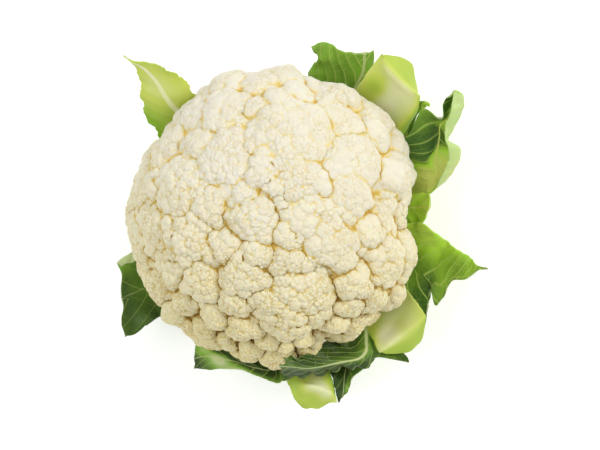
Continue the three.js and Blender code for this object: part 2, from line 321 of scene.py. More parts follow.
# across, up and radius of the florets on the upper side, seen VIEW_LEAN off the vertical
FLORETS = [
    (-12, -2, 12), (-17, 15, 9), (-28, 15, 6.5), (1, 16, 7.5), (5, 8, 5), (-9, 27, 11), (9, -10, 8.5),
    (-8, -22, 8.5), (-29, -17, 9), (-39, 6, 11), (-39, -21, 7), (18, 0, 12), (10, -25, 11), (17, 22, 14.5),
    (10, 49, 22), (-28, 35, 16), (-55, 18, 15), (-44, 43, 10), (34, 2, 8), (33, -16, 16), (44, 11, 13),
    (44, 34, 16), (-16, -36, 15.5), (11, -53, 21), (-52, -13, 15), (-41, -38, 12.5), (-23, -50, 12),
    (47, -38, 11.5), (56, -9, 9), (40, 55, 11), (4, 65, 11), (-12, 64, 8), (-28, 62, 14), (77, -23, 14),
    (70, 21, 15), (71, 42, 13), (57, 59, 15), (31, 67, 10), (-8, 79, 11), (9, 80, 9), (-25, 77, 9),
    (-42, 71, 8), (-47, 61, 11), (-63, 44, 12), (-78, 19, 13), (-79, -13, 14), (-68, -41, 11),
    (-60, -57, 10), (-43, -65, 8.5), (-28, -75, 7.5), (-17, -65, 10), (-13, -79, 7), (-3, -74, 7),
    (7, -76, 6), (17, -74, 6.5), (25, -76, 6.5), (35, -64, 9), (50, -63, 9), (44, -52, 9.5), (69, -44, 13),
]


def unit_rows(vectors):
    """Each row of a table, scaled to a length of 1."""
    return vectors / np.linalg.norm(vectors, axis=1, keepdims=True)


def crease_level(directions):
    """Distance from the curd's centre to the crease level, and the level's normal there."""
    height = np.where(directions[:, 2] > 0, CREASES["rise"], CREASES["drop"])
    sizes = np.stack([np.full(len(height), CREASES["x"]), np.full(len(height), CREASES["y"]), height], 1)
    reach = 1 / np.linalg.norm(directions / sizes, axis=1)
    bearing = np.degrees(np.arctan2(directions[:, 1], directions[:, 0]))
    for middle, width, stand in RIM:
        off = (bearing - middle + 180) % 360 - 180
        reach = reach + stand * np.exp(-((off / width) ** 2)) * (1 - directions[:, 2] ** 2) ** 3
    return reach, unit_rows(directions / sizes**2)


def listed_directions():
    """Directions of the listed florets: where each line of sight meets the florets' mean level."""
    across, up, towards = view_axes()
    squash = np.array([CREASES["x"], CREASES["y"], CREASES["rise"]]) + FLORET_MEAN_RISE
    places = np.array(FLORETS, dtype=float)
    start = across * places[:, :1] + up * places[:, 1:2]
    p, d = start / squash, towards / squash
    a, b, c = d @ d, p @ d, (p * p).sum(1) - 1
    depth = (np.sqrt(np.maximum(0, b * b - a * c)) - b) / a
    return unit_rows(start + towards * depth[:, None]), places[:, 2] * FLORET_SPREAD


def all_florets():
    """The florets' seats on the crease level, their radii and their axes."""
    directions, radii = listed_directions()
    seats = list(directions * crease_level(directions)[0][:, None])
    directions, radii = list(directions), list(radii)
    lowest = math.cos(math.radians(LOWEST_FLORET))
    for radius, tries in zip(FLORET_FILL, FLORET_TRIES):
        for i in range(tries):
            z = 1 - (1 - lowest) * (i + 0.5) / tries
            ring = math.sqrt(1 - z * z)
            way = np.array([ring * math.cos(i * GOLDEN), ring * math.sin(i * GOLDEN), z])
            seat = way * crease_level(way[None])[0]
            gaps = np.linalg.norm(np.array(seats) - seat, axis=1)
            if (gaps > FLORET_SPACING * (np.array(radii) + radius)).all():
                directions.append(way)
                radii.append(radius)
                seats.append(seat)
    radii = np.array(radii)
    radii[len(FLORETS):] *= FILL_SPREAD
    return np.array(seats), radii, crease_level(np.array(directions))[1]


def ball_grid(n):
    """A closed ball of six n by n grids, as unit directions and faces of four corners."""
    steps = np.arange(n + 1)
    keys, faces = [], []
    for axis in range(3):
        for end in (0, n):
            i, j = np.meshgrid(steps, steps, indexing="ij")
            corner = np.empty((n + 1, n + 1, 3), dtype=int)
            corner[..., axis] = end
            corner[..., (axis + 1) % 3] = i
            corner[..., (axis + 2) % 3] = j
            start = len(keys) * (n + 1) ** 2
            index = start + np.arange((n + 1) ** 2).reshape(n + 1, n + 1)
            quad = [index[:-1, :-1], index[1:, :-1], index[1:, 1:], index[:-1, 1:]]
            quad = np.stack(quad if end else quad[::-1], -1).reshape(-1, 4)
            keys.append(corner.reshape(-1, 3))
            faces.append(quad)
    merged, where = np.unique(np.concatenate(keys), axis=0, return_inverse=True)
    places = np.tan((merged / n - 0.5) * math.pi / 2)
    return unit_rows(places), where.reshape(-1)[np.concatenate(faces)]


def waves(points, length, seed):
    """Smooth noise from about -1 to 1 that repeats about every length."""
    chance = np.random.default_rng(seed)
    total = np.zeros(len(points))
    count = 5
    for _ in range(count):
        way = chance.normal(size=points.shape[1])
        way *= 2 * math.pi / length / np.linalg.norm(way) * chance.uniform(0.7, 1.4)
        total += np.sin(points @ way + chance.uniform(0, 2 * math.pi))
    return total / math.sqrt(count * 2)


# How the head differs towards three of its sides. Each has a direction across and up. A change is given as
# what is added towards the shaded, the smooth and the quiet side. A fixed value in the middle comes before
# it.
SHADED_SIDE = (-0.2, -0.98)  # lies in shade: its cream is painted yellower and its hollows a darker painted shade; it has the deepest seams
SMOOTH_SIDE = (0.62, 0.72)  # its lobes and buds are the least marked
QUIET_SIDE = (-0.97, 0.25)  # lies between that and the rest
SIDE_REACH = 60  # from the middle to where a side is fully itself
SINKING = (-0.15, (0.6, 0, -0.35))
SEAM_DEEPER = (0.7, (2.4, -0.35, -0.15))
LOBES_MARKED = (0, -0.32, -0.12)
BUDS_MARKED = (0, -0.56, -0.3)
# how much less painted shade the hollows get towards the smooth and the quiet side
HOLLOW_SHADE_EASING = (0, (0, 1, 0.7))

BALL_STEPS = 205
BALL_LIFT = 0.3  # draws the ball's grid towards the top, where the detail is
SEAM_WANDER = ((24, 2.8, (1, 2, 3)), (9, 1.2, (4, 5, 6)))  # length, size and seeds of the bends in the seams
SEAM_DEPTH = 0.6
SEAM_WIDTH = 1.1
SEAM_ENDS = (-0.55, 0.3)  # height in the curd's own ball where the seams end, and over which they fade
PIT_SLOPE = 0.3  # depth of a place that no floret covers, for each mm to the nearest one
PIT_DEPTH = 2.5


def by_side(points, plain, effects):
    """A value that is plain in the middle of the head, and changes by each effect towards its side."""
    for side, effect in zip((SHADED_SIDE, SMOOTH_SIDE, QUIET_SIDE), effects):
        plain = plain + effect * np.clip(points[:, :2] @ np.array(side) / SIDE_REACH, 0, 1)
    return plain


def sinking(points):
    """How much deeper the level between the florets lies below their tops, as a share of that depth."""
    return by_side(points, *SINKING)


def floret_surface(seats, radii):
    """The curd's surface before lobes and buds: pillows pressed together along cut-in seams.
    Returns its points and faces, how deep in a seam each point is, and the floret that owns it."""
    ways, faces = ball_grid(BALL_STEPS)
    ways = unit_rows(ways + np.array([0, 0, BALL_LIFT]))
    level, normal = crease_level(ways)
    base = ways * level[:, None]
    stray = 0
    for length, size, seeds in SEAM_WANDER:
        stray = stray + np.stack([waves(base, length, seed) for seed in seeds], 1) * size
    depth, second = np.full(len(base), np.inf), np.full(len(base), np.inf)
    owner = np.zeros(len(base))
    for i, (seat, radius) in enumerate(zip(seats, radii)):
        away = np.linalg.norm(base + stray - seat, axis=1) - radius
        second = np.minimum(second, np.maximum(away, depth))
        owner[away < depth] = i
        depth = np.minimum(depth, away)
    inside = np.maximum(-depth, 0)
    rise = FLORET_EDGE * (1 - np.exp(-inside / FLORET_EDGE_RUN)) + FLORET_DOME * inside
    rise -= np.clip(depth * PIT_SLOPE, 0, PIT_DEPTH)
    rise -= sinking(base) * (FLORET_TOP - rise)
    upper = np.clip((ways[:, 2] - SEAM_ENDS[0]) / SEAM_ENDS[1], 0, 1)
    seam = np.exp((depth - second) / SEAM_WIDTH) * upper
    deeper = by_side(base, *SEAM_DEEPER)
    return base + normal * (rise - SEAM_DEPTH * deeper * seam)[:, None], faces, seam, owner


# ---------------------------------------------------------------- lobes and buds
LOBE_SPACING = 7
BUD_SPACING = 2.9
# How lobes grow on the florets' balls, and buds on the lobes'. Cap is the height of the part of the ball that
# they cover, over its radius. The others are shares of the spacing: how deep a child's middle lies, how large
# its own ball is, how far it strays from its spiral, and how far from the surface it may still start.
LOBE_GROWTH = {"Cap": 0.45, "Sunk": 0.56, "Ball": 0.78, "Jitter": 0.3, "Reach": 2.6}
BUD_GROWTH = {"Cap": 0.8, "Sunk": 0.40, "Ball": 0.66, "Jitter": 0.22, "Reach": 1.3}
GROWTH_SEED = 4
BUD_SEED_STEP = 7.0  # between the lobes' seed and the buds'
CELL_AREA = 0.866  # of one child in a hexagonal pattern, for a spacing of 1
TOO_CLOSE = 0.42  # children this near to each other, as a share of the spacing, grow as one
BUD_STRENGTH = (0.45, 1.3)  # least and most, from lobe to lobe
SKIN_SMOOTHING = 0.35
# rounds of smoothing that even out the buds, then the lobes, then the florets
BUD_ROUNDS, LOBE_ROUNDS, FLORET_ROUNDS = 10, 50, 120
PIT_FILLS = (0.7, 1.3)  # depth of a pit where it starts to fill up, and where it has
PIT_FILLED = 0.9  # share of its depth that it then loses


def spiral_children(g, get, spacing):
    """Copies of each parent on the cap of its ball, in a golden-angle spiral."""
    size = g.read("size")
    cap_area = g.times(g.times(size, size), g.times(get["Cap"], 2 * math.pi))
    cell_area = g.times(g.times(spacing, spacing), CELL_AREA)
    count = g.maths("CEIL", g.maths("DIVIDE", cap_area, cell_area))
    wanted = {"Geometry": get["Parents"], "Amount": count}
    copies = g.add("GeometryNodeDuplicateElements", wanted, domain="POINT")
    number = copies.outputs["Duplicate Index"]

    share = g.maths("DIVIDE", g.plus(number, 0.5), count)
    height = g.minus(1.0, g.times(share, get["Cap"]))
    ring = g.maths("SQRT", g.maths("MAXIMUM", g.minus(1.0, g.times(height, height)), 0.0))
    turn = g.plus(g.times(number, GOLDEN), g.read("spin"))
    x = g.times(ring, g.maths("COSINE", turn))
    y = g.times(ring, g.maths("SINE", turn))
    way = g.add("ShaderNodeCombineXYZ", {"X": x, "Y": y, "Z": height})
    chance = g.chance((-1.0, -1.0, -1.0), (1.0, 1.0, 1.0), get["Seed"], "FLOAT_VECTOR")
    stray = g.scaled(chance, g.times(get["Jitter"], g.maths("DIVIDE", spacing, size)))
    way = g.vector("NORMALIZE", g.vector("ADD", way, stray))
    axis = g.read("axis", "FLOAT_VECTOR")
    facing = g.add("FunctionNodeAlignRotationToVector", {"Vector": axis}, axis="Z")
    outward = g.add("FunctionNodeRotateVector", {"Vector": way, "Rotation": facing})
    place = g.vector("ADD", g.add("GeometryNodeInputPosition"), g.scaled(outward, size))
    # The new axis and place are both read from the old axis, so the axis is stored under another name first.
    children = g.store(copies, "outward", outward, "FLOAT_VECTOR")
    children = g.move(children, place)
    return g.store(children, "axis", g.read("outward", "FLOAT_VECTOR"), "FLOAT_VECTOR")


def settle_children(g, get, spacing, children):
    """Sets the children on their own parent's part of the surface, and drops those that miss it."""
    nearest = g.add("GeometryNodeProximity", {0: get["Surface"]}, target_element="FACES")
    far = g.maths("GREATER_THAN", nearest.outputs["Distance"], g.times(spacing, get["Reach"]))
    beneath = g.nearest_point(get["Surface"], nearest.outputs["Position"])
    ground = g.fetch(get["Surface"], g.read("owner"), beneath)
    at_home = g.maths("COMPARE", ground, g.read("owner"), 0.5)
    astray = g.maths("MAXIMUM", far, g.minus(1.0, at_home))
    kept = g.add("GeometryNodeDeleteGeometry", {"Geometry": children, "Selection": astray}, domain="POINT")
    kept = g.move(kept, nearest.outputs["Position"])
    ground = {"Mesh": get["Surface"], "Value": g.add("GeometryNodeInputNormal")}
    facing = g.add("GeometryNodeSampleNearestSurface", ground, data_type="FLOAT_VECTOR")
    leaning = g.blend(0.5, g.read("axis", "FLOAT_VECTOR"), pick(facing.outputs, "Value"))
    kept = g.store(kept, "axis", leaning, "FLOAT_VECTOR")
    close = g.times(get["Spacing"], TOO_CLOSE)
    kept = g.add("GeometryNodeMergeByDistance", {"Geometry": kept, "Distance": close})
    unit = g.vector("NORMALIZE", g.read("axis", "FLOAT_VECTOR"))
    kept = g.store(kept, "axis", unit, "FLOAT_VECTOR")
    kept = g.store(kept, "size", g.times(spacing, get["Ball"]))
    kept = g.store(kept, "spin", g.chance(0.0, 2 * math.pi, get["Seed"]))
    return g.store(kept, "owner", g.add("GeometryNodeInputIndex"))


def swell_surface(g, get, children):
    """Draws each point of the surface out to the ball of the child that is nearest to it."""
    here = g.add("GeometryNodeInputPosition")
    at = g.nearest_point(children, here)
    child = g.fetch(children, here, at, "FLOAT_VECTOR")
    axis = g.fetch(children, g.read("axis", "FLOAT_VECTOR"), at, "FLOAT_VECTOR")
    size = g.fetch(children, g.read("size"), at)
    sunk = g.times(size, g.maths("DIVIDE", get["Sunk"], get["Ball"]))
    middle = g.vector("SUBTRACT", child, g.scaled(axis, sunk))
    ray = g.vector("NORMALIZE", g.vector("SUBTRACT", here, middle))
    swollen = g.vector("ADD", middle, g.scaled(ray, size))
    surface = g.store(get["Surface"], "new_owner", at)
    surface = g.move(surface, g.blend(g.read("relief"), here, swollen))
    return g.store(surface, "owner", g.read("new_owner"))


def grow_level():
    """Covers the parents, which are balls, with children, and swells the surface towards each child. Parents
    and children are points with a size, an axis, a spin and a grain, which scales the spacing."""
    inputs = [
        ("Surface", "NodeSocketGeometry", None),
        ("Parents", "NodeSocketGeometry", None),
        ("Spacing", "NodeSocketFloat", LOBE_SPACING * MM),
        *[(name, "NodeSocketFloat", share) for name, share in LOBE_GROWTH.items()],
        ("Seed", "NodeSocketInt", GROWTH_SEED),
    ]
    outputs = [("Surface", "NodeSocketGeometry"), ("Children", "NodeSocketGeometry")]
    g, given, result = new_group("grow_level", "GeometryNodeTree", inputs, outputs)
    get = given.outputs
    spacing = g.times(get["Spacing"], g.read("grain"))
    children = settle_children(g, get, spacing, spiral_children(g, get, spacing))
    g.feed(result, "Surface", swell_surface(g, get, children))
    sunk = g.times(g.times(spacing, get["Sunk"]), -1.0)
    inner = g.scaled(g.read("axis", "FLOAT_VECTOR"), sunk)
    children = g.add("GeometryNodeSetPosition", {"Geometry": children, "Offset": inner})
    g.feed(result, "Children", children)
    return g.tree


def hollows(g, geometry, name, rounds):
    """Smooths the stored places further, and stores how many mm each point lies below them."""
    smoothed = g.smoothed(g.read("smoothed", "FLOAT_VECTOR"), rounds, 1.0)
    geometry = g.store(geometry, "smoothed", smoothed, "FLOAT_VECTOR")
    here = g.add("GeometryNodeInputPosition")
    rise = g.vector("SUBTRACT", g.read("smoothed", "FLOAT_VECTOR"), here)
    outward = g.vector("NORMALIZE", g.vector("SUBTRACT", here, (0.0, 0.0, CURD_CENTRE * MM / 2)))
    below = g.vector("DOT_PRODUCT", rise, outward)
    return g.store(geometry, name, g.times(pick(below.outputs, "Value"), 1 / MM))


def curd_growth():
    """Grows lobes on the florets and buds on the lobes, and stores how deep each hollow between them is."""
    inputs = [
        ("Surface", "NodeSocketGeometry", None),
        ("Florets", "NodeSocketObject", None),
        ("Lobe spacing", "NodeSocketFloat", LOBE_SPACING * MM),
        ("Bud spacing", "NodeSocketFloat", BUD_SPACING * MM),
        ("Seed", "NodeSocketInt", GROWTH_SEED),
        ("Finish", "NodeSocketMaterial", None),
    ]
    outputs = [("Surface", "NodeSocketGeometry")]
    g, given, result = new_group("curd_growth", "GeometryNodeTree", inputs, outputs)
    get = given.outputs
    level = grow_level()
    florets = g.add("GeometryNodeObjectInfo", {"Object": get["Florets"]}).outputs["Geometry"]
    sockets = ("Surface", "Parents", "Spacing", "Seed")
    values = dict(zip(sockets, (get["Surface"], florets, get["Lobe spacing"], get["Seed"])))
    lobes = use_group(g, level, {**values, **LOBE_GROWTH})
    budding = g.chance(*BUD_STRENGTH, get["Seed"], ID=g.read("owner", "INT"))
    surface = g.store(lobes.outputs["Surface"], "relief", g.times(g.read("bud_relief"), budding))
    seed = g.plus(get["Seed"], BUD_SEED_STEP)
    values = dict(zip(sockets, (surface, lobes.outputs["Children"], get["Bud spacing"], seed)))
    surface = use_group(g, level, {**values, **BUD_GROWTH}).outputs["Surface"]

    here = g.add("GeometryNodeInputPosition")
    surface = g.move(surface, g.smoothed(here, 1, SKIN_SMOOTHING))
    surface = g.store(surface, "smoothed", here, "FLOAT_VECTOR")
    surface = hollows(g, surface, "bud_hollow", BUD_ROUNDS)
    # pits that are too narrow to stay open fill up
    filled = g.between(g.read("bud_hollow"), *PIT_FILLS, 0.0, PIT_FILLED)
    surface = g.move(surface, g.blend(filled, here, g.read("smoothed", "FLOAT_VECTOR")))
    surface = hollows(g, surface, "lobe_hollow", LOBE_ROUNDS)
    surface = hollows(g, surface, "floret_hollow", FLORET_ROUNDS)
    for name in ("smoothed", "new_owner", "owner", "relief", "bud_relief"):
        surface = g.add("GeometryNodeRemoveAttribute", {"Geometry": surface, "Name": name})
    surface = g.add("GeometryNodeRealizeInstances", {"Geometry": surface})
    surface = g.add("GeometryNodeSetMaterial", {"Geometry": surface, "Material": get["Finish"]})
    g.feed(result, "Surface", surface)
    return g.tree


CREAM = ((0.765, 0.715, 0.545, 1), (0.79, 0.755, 0.655, 1))  # the two tints that the tissue drifts between
# painted yellower cream for the shade on the shaded side
SHADED_CREAM = (0.79, 0.715, 0.4, 1)
# painted shade at the edges of the grains
GRAIN_GAP_SHADE = (0.62, 0.47, 0.14, 1)
# painted shade in the hollows, the creases and the seams, on the fresh side and on the shaded side
HOLLOW_SHADE_TINTS = ((0.77, 0.64, 0.27, 1), (0.57, 0.41, 0.1, 1))
CREASE_SHADE_TINTS = ((0.68, 0.47, 0.09, 1), (0.22, 0.11, 0.015, 1))
SEAM_SHADE_TINTS = ((0.58, 0.36, 0.05, 1), (0.22, 0.11, 0.015, 1))
# painted glow in the creases, given off as emission
CREASE_GLOW = (0.075, 0.054, 0.016, 1)
BUD_SHADE, LOBE_SHADE, FLORET_SHADE = 2.6, 0.8, 0.15  # what each mm of a hollow's depth counts
CURD_LIGHT = (0.35, (1.0, 0.75, 0.35), 0.0014)  # how light spreads in the tissue, as through_light says
CURD_BUMP = (0.6, 0.0009)  # strength of the fine relief, and its height in metres
# the finish's patterns, as counts in a metre: grains and their bends, grainy patches, tints and fine skin
GRAIN_SCALE, WARP_SCALE, PATCH_SCALE, TINT_SCALE, SKIN_SCALE = 700.0, 400.0, 60.0, 28.0, 1500.0
GRAIN_WARP = 0.0012  # metres that the pattern of the grains bends by


def sunken(g, in_shade):
    """How far each point lies in a hollow between buds, lobes or florets, from 0 to more than 1, as used for
    the painted shade and glow there: weaker towards the smooth and quiet sides, stronger on the shaded side.
    """
    sunk = g.plus(g.times(g.stored("bud_hollow"), BUD_SHADE), g.times(g.stored("lobe_hollow"), LOBE_SHADE))
    sunk = g.plus(sunk, g.times(g.stored("floret_hollow"), FLORET_SHADE))
    marked = g.plus(g.times(g.stored("hollow_shade_eased"), -0.25), g.times(in_shade, 0.15))
    return g.times(sunk, g.plus(marked, 0.85))


def curd_finish():
    """Cream tissue with painted shade in its hollows and seams, a painted glow in its creases, and painted
    yellowing on its shaded side.
    """
    settings = {"Emission Strength": 1, "Roughness": 0.62, "Specular IOR Level": 0.3}
    settings.update(through_light(*CURD_LIGHT))
    material, g, shader = new_material("curd_tissue", settings)
    floret, in_shade = g.stored("floret_hollow"), g.stored("shade_paint")
    place = g.object_place()

    warp = g.vector("SUBTRACT", g.noise(place, WARP_SCALE, 1.0).outputs["Color"], (0.5, 0.5, 0.5))
    warped = g.vector("ADD", place, g.scaled(warp, GRAIN_WARP))
    cells = {"Vector": warped, "Scale": GRAIN_SCALE, "Randomness": 0.9}
    grains = g.add("ShaderNodeTexVoronoi", cells, feature="F1").outputs["Distance"]
    patches = g.between(g.noise(place, PATCH_SCALE, 1.0), 0.38, 0.6)
    body = g.colours(g.noise(place, TINT_SCALE, 3.0), *CREAM)
    # painted yellowing where the head lies in shade
    body = g.colours(in_shade, body, SHADED_CREAM)
    grainy = g.plus(g.times(patches, 0.35), g.times(in_shade, 0.5))
    # painted shade between the grains, more in grainy patches and on the shaded side
    body = g.colours(g.times(g.between(grains, 0.35, 0.8), grainy), body, GRAIN_GAP_SHADE)

    sunk = sunken(g, in_shade)
    # painted shade: ochre in the hollows, browner in the creases, darkest in the seams between florets
    shaded = g.colours(g.between(sunk, -0.1, 1.0), body, g.colours(in_shade, *HOLLOW_SHADE_TINTS))
    creased = g.colours(g.between(sunk, 0.7, 1.8), shaded, g.colours(in_shade, *CREASE_SHADE_TINTS))
    deep = g.times(g.between(g.stored("seam"), 0.1, 0.5), g.between(floret, 0.5, 3.0))
    g.feed(shader, "Base Color", g.colours(deep, creased, g.colours(in_shade, *SEAM_SHADE_TINTS)))
    # painted glow: emission that stands in for light reaching a crease through the tissue beside it, less on
    # the shaded side
    lit = g.maths("MAXIMUM", g.between(sunk, 0.5, 2.0, 0.0, 0.5), g.between(floret, 0.3, 2.5))
    lit = g.times(lit, g.minus(1.0, g.times(in_shade, 0.8)))
    g.feed(shader, "Emission Color", g.colours(lit, (0, 0, 0, 1), CREASE_GLOW))

    swell = g.minus(1.0, g.maths("POWER", grains, 2.0))
    swell = g.times(swell, g.plus(g.times(grainy, 1.3), 0.15))
    height = g.plus(swell, g.times(g.noise(place, SKIN_SCALE, 3.0), 0.15))
    g.feed(shader, "Normal", g.bump(*CURD_BUMP, height))
    return material


CURD_PARTS = 5  # sectors that the curd's surface is handed over in, each closed towards the curd's middle
# the values that the curd's finish uses
CURD_VALUES = ("seam", "shade_paint", "hollow_shade_eased", "bud_hollow", "lobe_hollow", "floret_hollow")


def keep_apart(faces, part):
    """Reassigns faces so that no two sectors meet at a single point only."""
    while True:
        sides = []
        for side in range(4):
            a, b = faces[:, side], faces[:, (side + 1) % 4]
            sides.append(np.stack([np.minimum(a, b), np.maximum(a, b), part], 1))
        edges, count = np.unique(np.concatenate(sides), axis=0, return_counts=True)
        rim = edges[count == 1]
        ends, uses = np.unique(np.concatenate([rim[:, [0, 2]], rim[:, [1, 2]]]), axis=0, return_counts=True)
        knots = ends[uses > 2, 0]
        if not len(knots):
            return part
        touched = np.isin(faces, knots).any(1)
        part = np.where(touched, part[touched].min(), part)


def closed_part(points, faces):
    """The numbers of one sector's points, its faces, and a fan of faces from its rim to the middle."""
    directed = np.concatenate([np.stack([faces[:, k], faces[:, (k + 1) % 4]], 1) for k in range(4)])
    keys = directed[:, 0] * len(points) + directed[:, 1]
    back = directed[:, 1] * len(points) + directed[:, 0]
    rim = directed[~np.isin(keys, back)]
    used, where = np.unique(faces, return_inverse=True)
    spot = np.zeros(len(points), dtype=int)
    spot[used] = np.arange(len(used))
    fan = np.stack([spot[rim[:, 1]], spot[rim[:, 0]], np.full(len(rim), len(used))], 1)
    return used, where.reshape(faces.shape), fan


def hand_over_curd(whole, owner_parts):
    """Splits the grown curd along seams between its florets into closed sectors and hands each over."""
    mesh = whole.data
    points = np.empty(len(mesh.vertices) * 3)
    mesh.vertices.foreach_get("co", points)
    points = points.reshape(-1, 3)
    faces = np.empty(len(mesh.loops), dtype=int)
    mesh.loops.foreach_get("vertex_index", faces)
    faces = faces.reshape(-1, 4)
    part = keep_apart(faces, owner_parts[faces[:, 0]])
    values = {name: np.empty(len(points), dtype=np.float32) for name in CURD_VALUES}
    for name in CURD_VALUES:
        mesh.attributes[name].data.foreach_get("value", values[name])
    for k in np.unique(part):
        used, shell, fan = closed_part(points, faces[part == k])
        places = np.concatenate([points[used], [[0, 0, CURD_CENTRE * MM]]])
        piece = new_thing(f"curd_head_{k + 1}", places, shell.tolist() + fan.tolist(), unit=1)
        for name in CURD_VALUES:
            add_values(piece.data, name, np.append(values[name][used], 0))
        piece.data.materials.append(mesh.materials[0])
        hand_over(piece, "curd")
        piece.data.polygons.foreach_set("use_smooth", np.arange(len(shell) + len(fan)) < len(shell))
    bpy.data.objects.remove(whole)


RELIEF_STARTS = (-34, 16)  # height from the curd's middle where the relief starts, and over which it grows
LOBE_WAVES = (0.8, 0.2, 30, 7)  # the lobes' mean strength, how much it varies, over what length, and its seed
BUD_WAVES = (1.08, 0.45, 26, 8)
BUD_LIMITS = (0.3, 1.55)
SHADED_SIDE_LOBES, SHADED_SIDE_BUDS = 0.05, 0.5  # how much stronger they are on the shaded side
SHADE_PAINT_LEVELS = (0.13, 0.6, 0.34)  # share of painted yellowing and shade: at the top, added towards the shaded side, and added at the middle's height
SHADE_PAINT_TOP = 60  # height of that top over the curd's middle
SHADED_SIDE_RUN = 80  # from the middle to where the shaded side is painted at its yellowest
FLORET_SEED = 11
FLORET_GRAIN = (0.7, 1.4)  # least and most, from floret to floret
FINE_FLORET = 0.6  # and that of the first floret in the list
SHADED_SIDE_GRAIN = (0.22, 70)  # how much finer the shaded side grows, and how far out that is complete


def curd_values(points):
    """What the growth and the finish read at each point of the curd's surface."""
    relief = np.clip((points[:, 2] - RELIEF_STARTS[0]) / RELIEF_STARTS[1], 0, 1)
    yellow = points[:, :2] @ np.array(SHADED_SIDE) / SHADED_SIDE_RUN
    coarse = np.clip(yellow, 0, 1)
    mean, size, length, seed = LOBE_WAVES
    lobes = by_side(points, mean + size * waves(points, length, seed), LOBES_MARKED) + SHADED_SIDE_LOBES * coarse
    mean, size, length, seed = BUD_WAVES
    buds = by_side(points, mean + size * waves(points, length, seed), BUDS_MARKED) + SHADED_SIDE_BUDS * coarse
    plain, towards, lower = SHADE_PAINT_LEVELS
    # painted yellowing and shade, more towards the shaded side and lower down
    shade_paint = plain + towards * yellow + lower * (1 - points[:, 2] / SHADE_PAINT_TOP)
    return {
        "relief": relief * lobes,
        "hollow_shade_eased": np.clip(by_side(points, *HOLLOW_SHADE_EASING), 0, 1),
        "bud_relief": relief * np.clip(buds, *BUD_LIMITS),
        "shade_paint": np.clip(shade_paint, 0, 1),
    }


def floret_seeds(seats, radii, axes, lift):
    """The florets as the points that their lobes grow on."""
    chance = np.random.default_rng(FLORET_SEED)
    ball = radii * FLORET_BALL
    top = FLORET_EDGE + FLORET_DOME * radii
    seeds = new_thing("floret_seeds", seats + axes * (top - ball)[:, None] + lift, [])
    spin = chance.uniform(0, 2 * math.pi, len(radii))
    grain = chance.uniform(*FLORET_GRAIN, len(radii))
    finer, run = SHADED_SIDE_GRAIN
    grain *= 1 - finer * np.clip(seats[:, :2] @ np.array(SHADED_SIDE) / run, 0, 1)
    grain[0] = FINE_FLORET
    add_values(seeds.data, "axis", axes, "FLOAT_VECTOR")
    add_values(seeds.data, "size", ball * MM)
    add_values(seeds.data, "spin", spin)
    add_values(seeds.data, "grain", grain)
    add_values(seeds.data, "owner", np.arange(len(radii)))
    return seeds


def make_curd():
    seats, radii, axes = all_florets()
    points, faces, seam, owner = floret_surface(seats, radii)
    lift = np.array([0, 0, CURD_CENTRE])
    curd = new_thing("curd_head", points + lift, faces.tolist())
    for name, values in {"seam": seam, "owner": owner, **curd_values(points)}.items():
        add_values(curd.data, name, values)
    seeds = floret_seeds(seats, radii, axes, lift)
    run_growth(curd, curd_growth(), {"Florets": seeds, "Finish": curd_finish()})
    bpy.data.objects.remove(seeds)
    bearing = np.arctan2(seats[:, 1], seats[:, 0]) / (2 * math.pi) + 0.5
    sector = np.minimum((bearing * CURD_PARTS).astype(int), CURD_PARTS - 1)
    hand_over_curd(curd, sector[owner.astype(int)])


# ---------------------------------------------------------------- leaves
LEAF_ROWS = 128  # faces along a leaf
LEAF_COLUMNS = 30  # and across it
BLADE = (1.6, 0.8)  # thickness of the blade at the midrib and at the margin
MARGIN_THIN = 0.35  # share of that thickness at the very edge
RIB_HEIGHT = (4.4, 0.7)  # how much the midrib stands out behind, at the stalk and at the leaf's end
RIB_SPREAD = (5.5, 1.6)  # half-width of the midrib
RIB_TAPER = 2  # how soon it thins
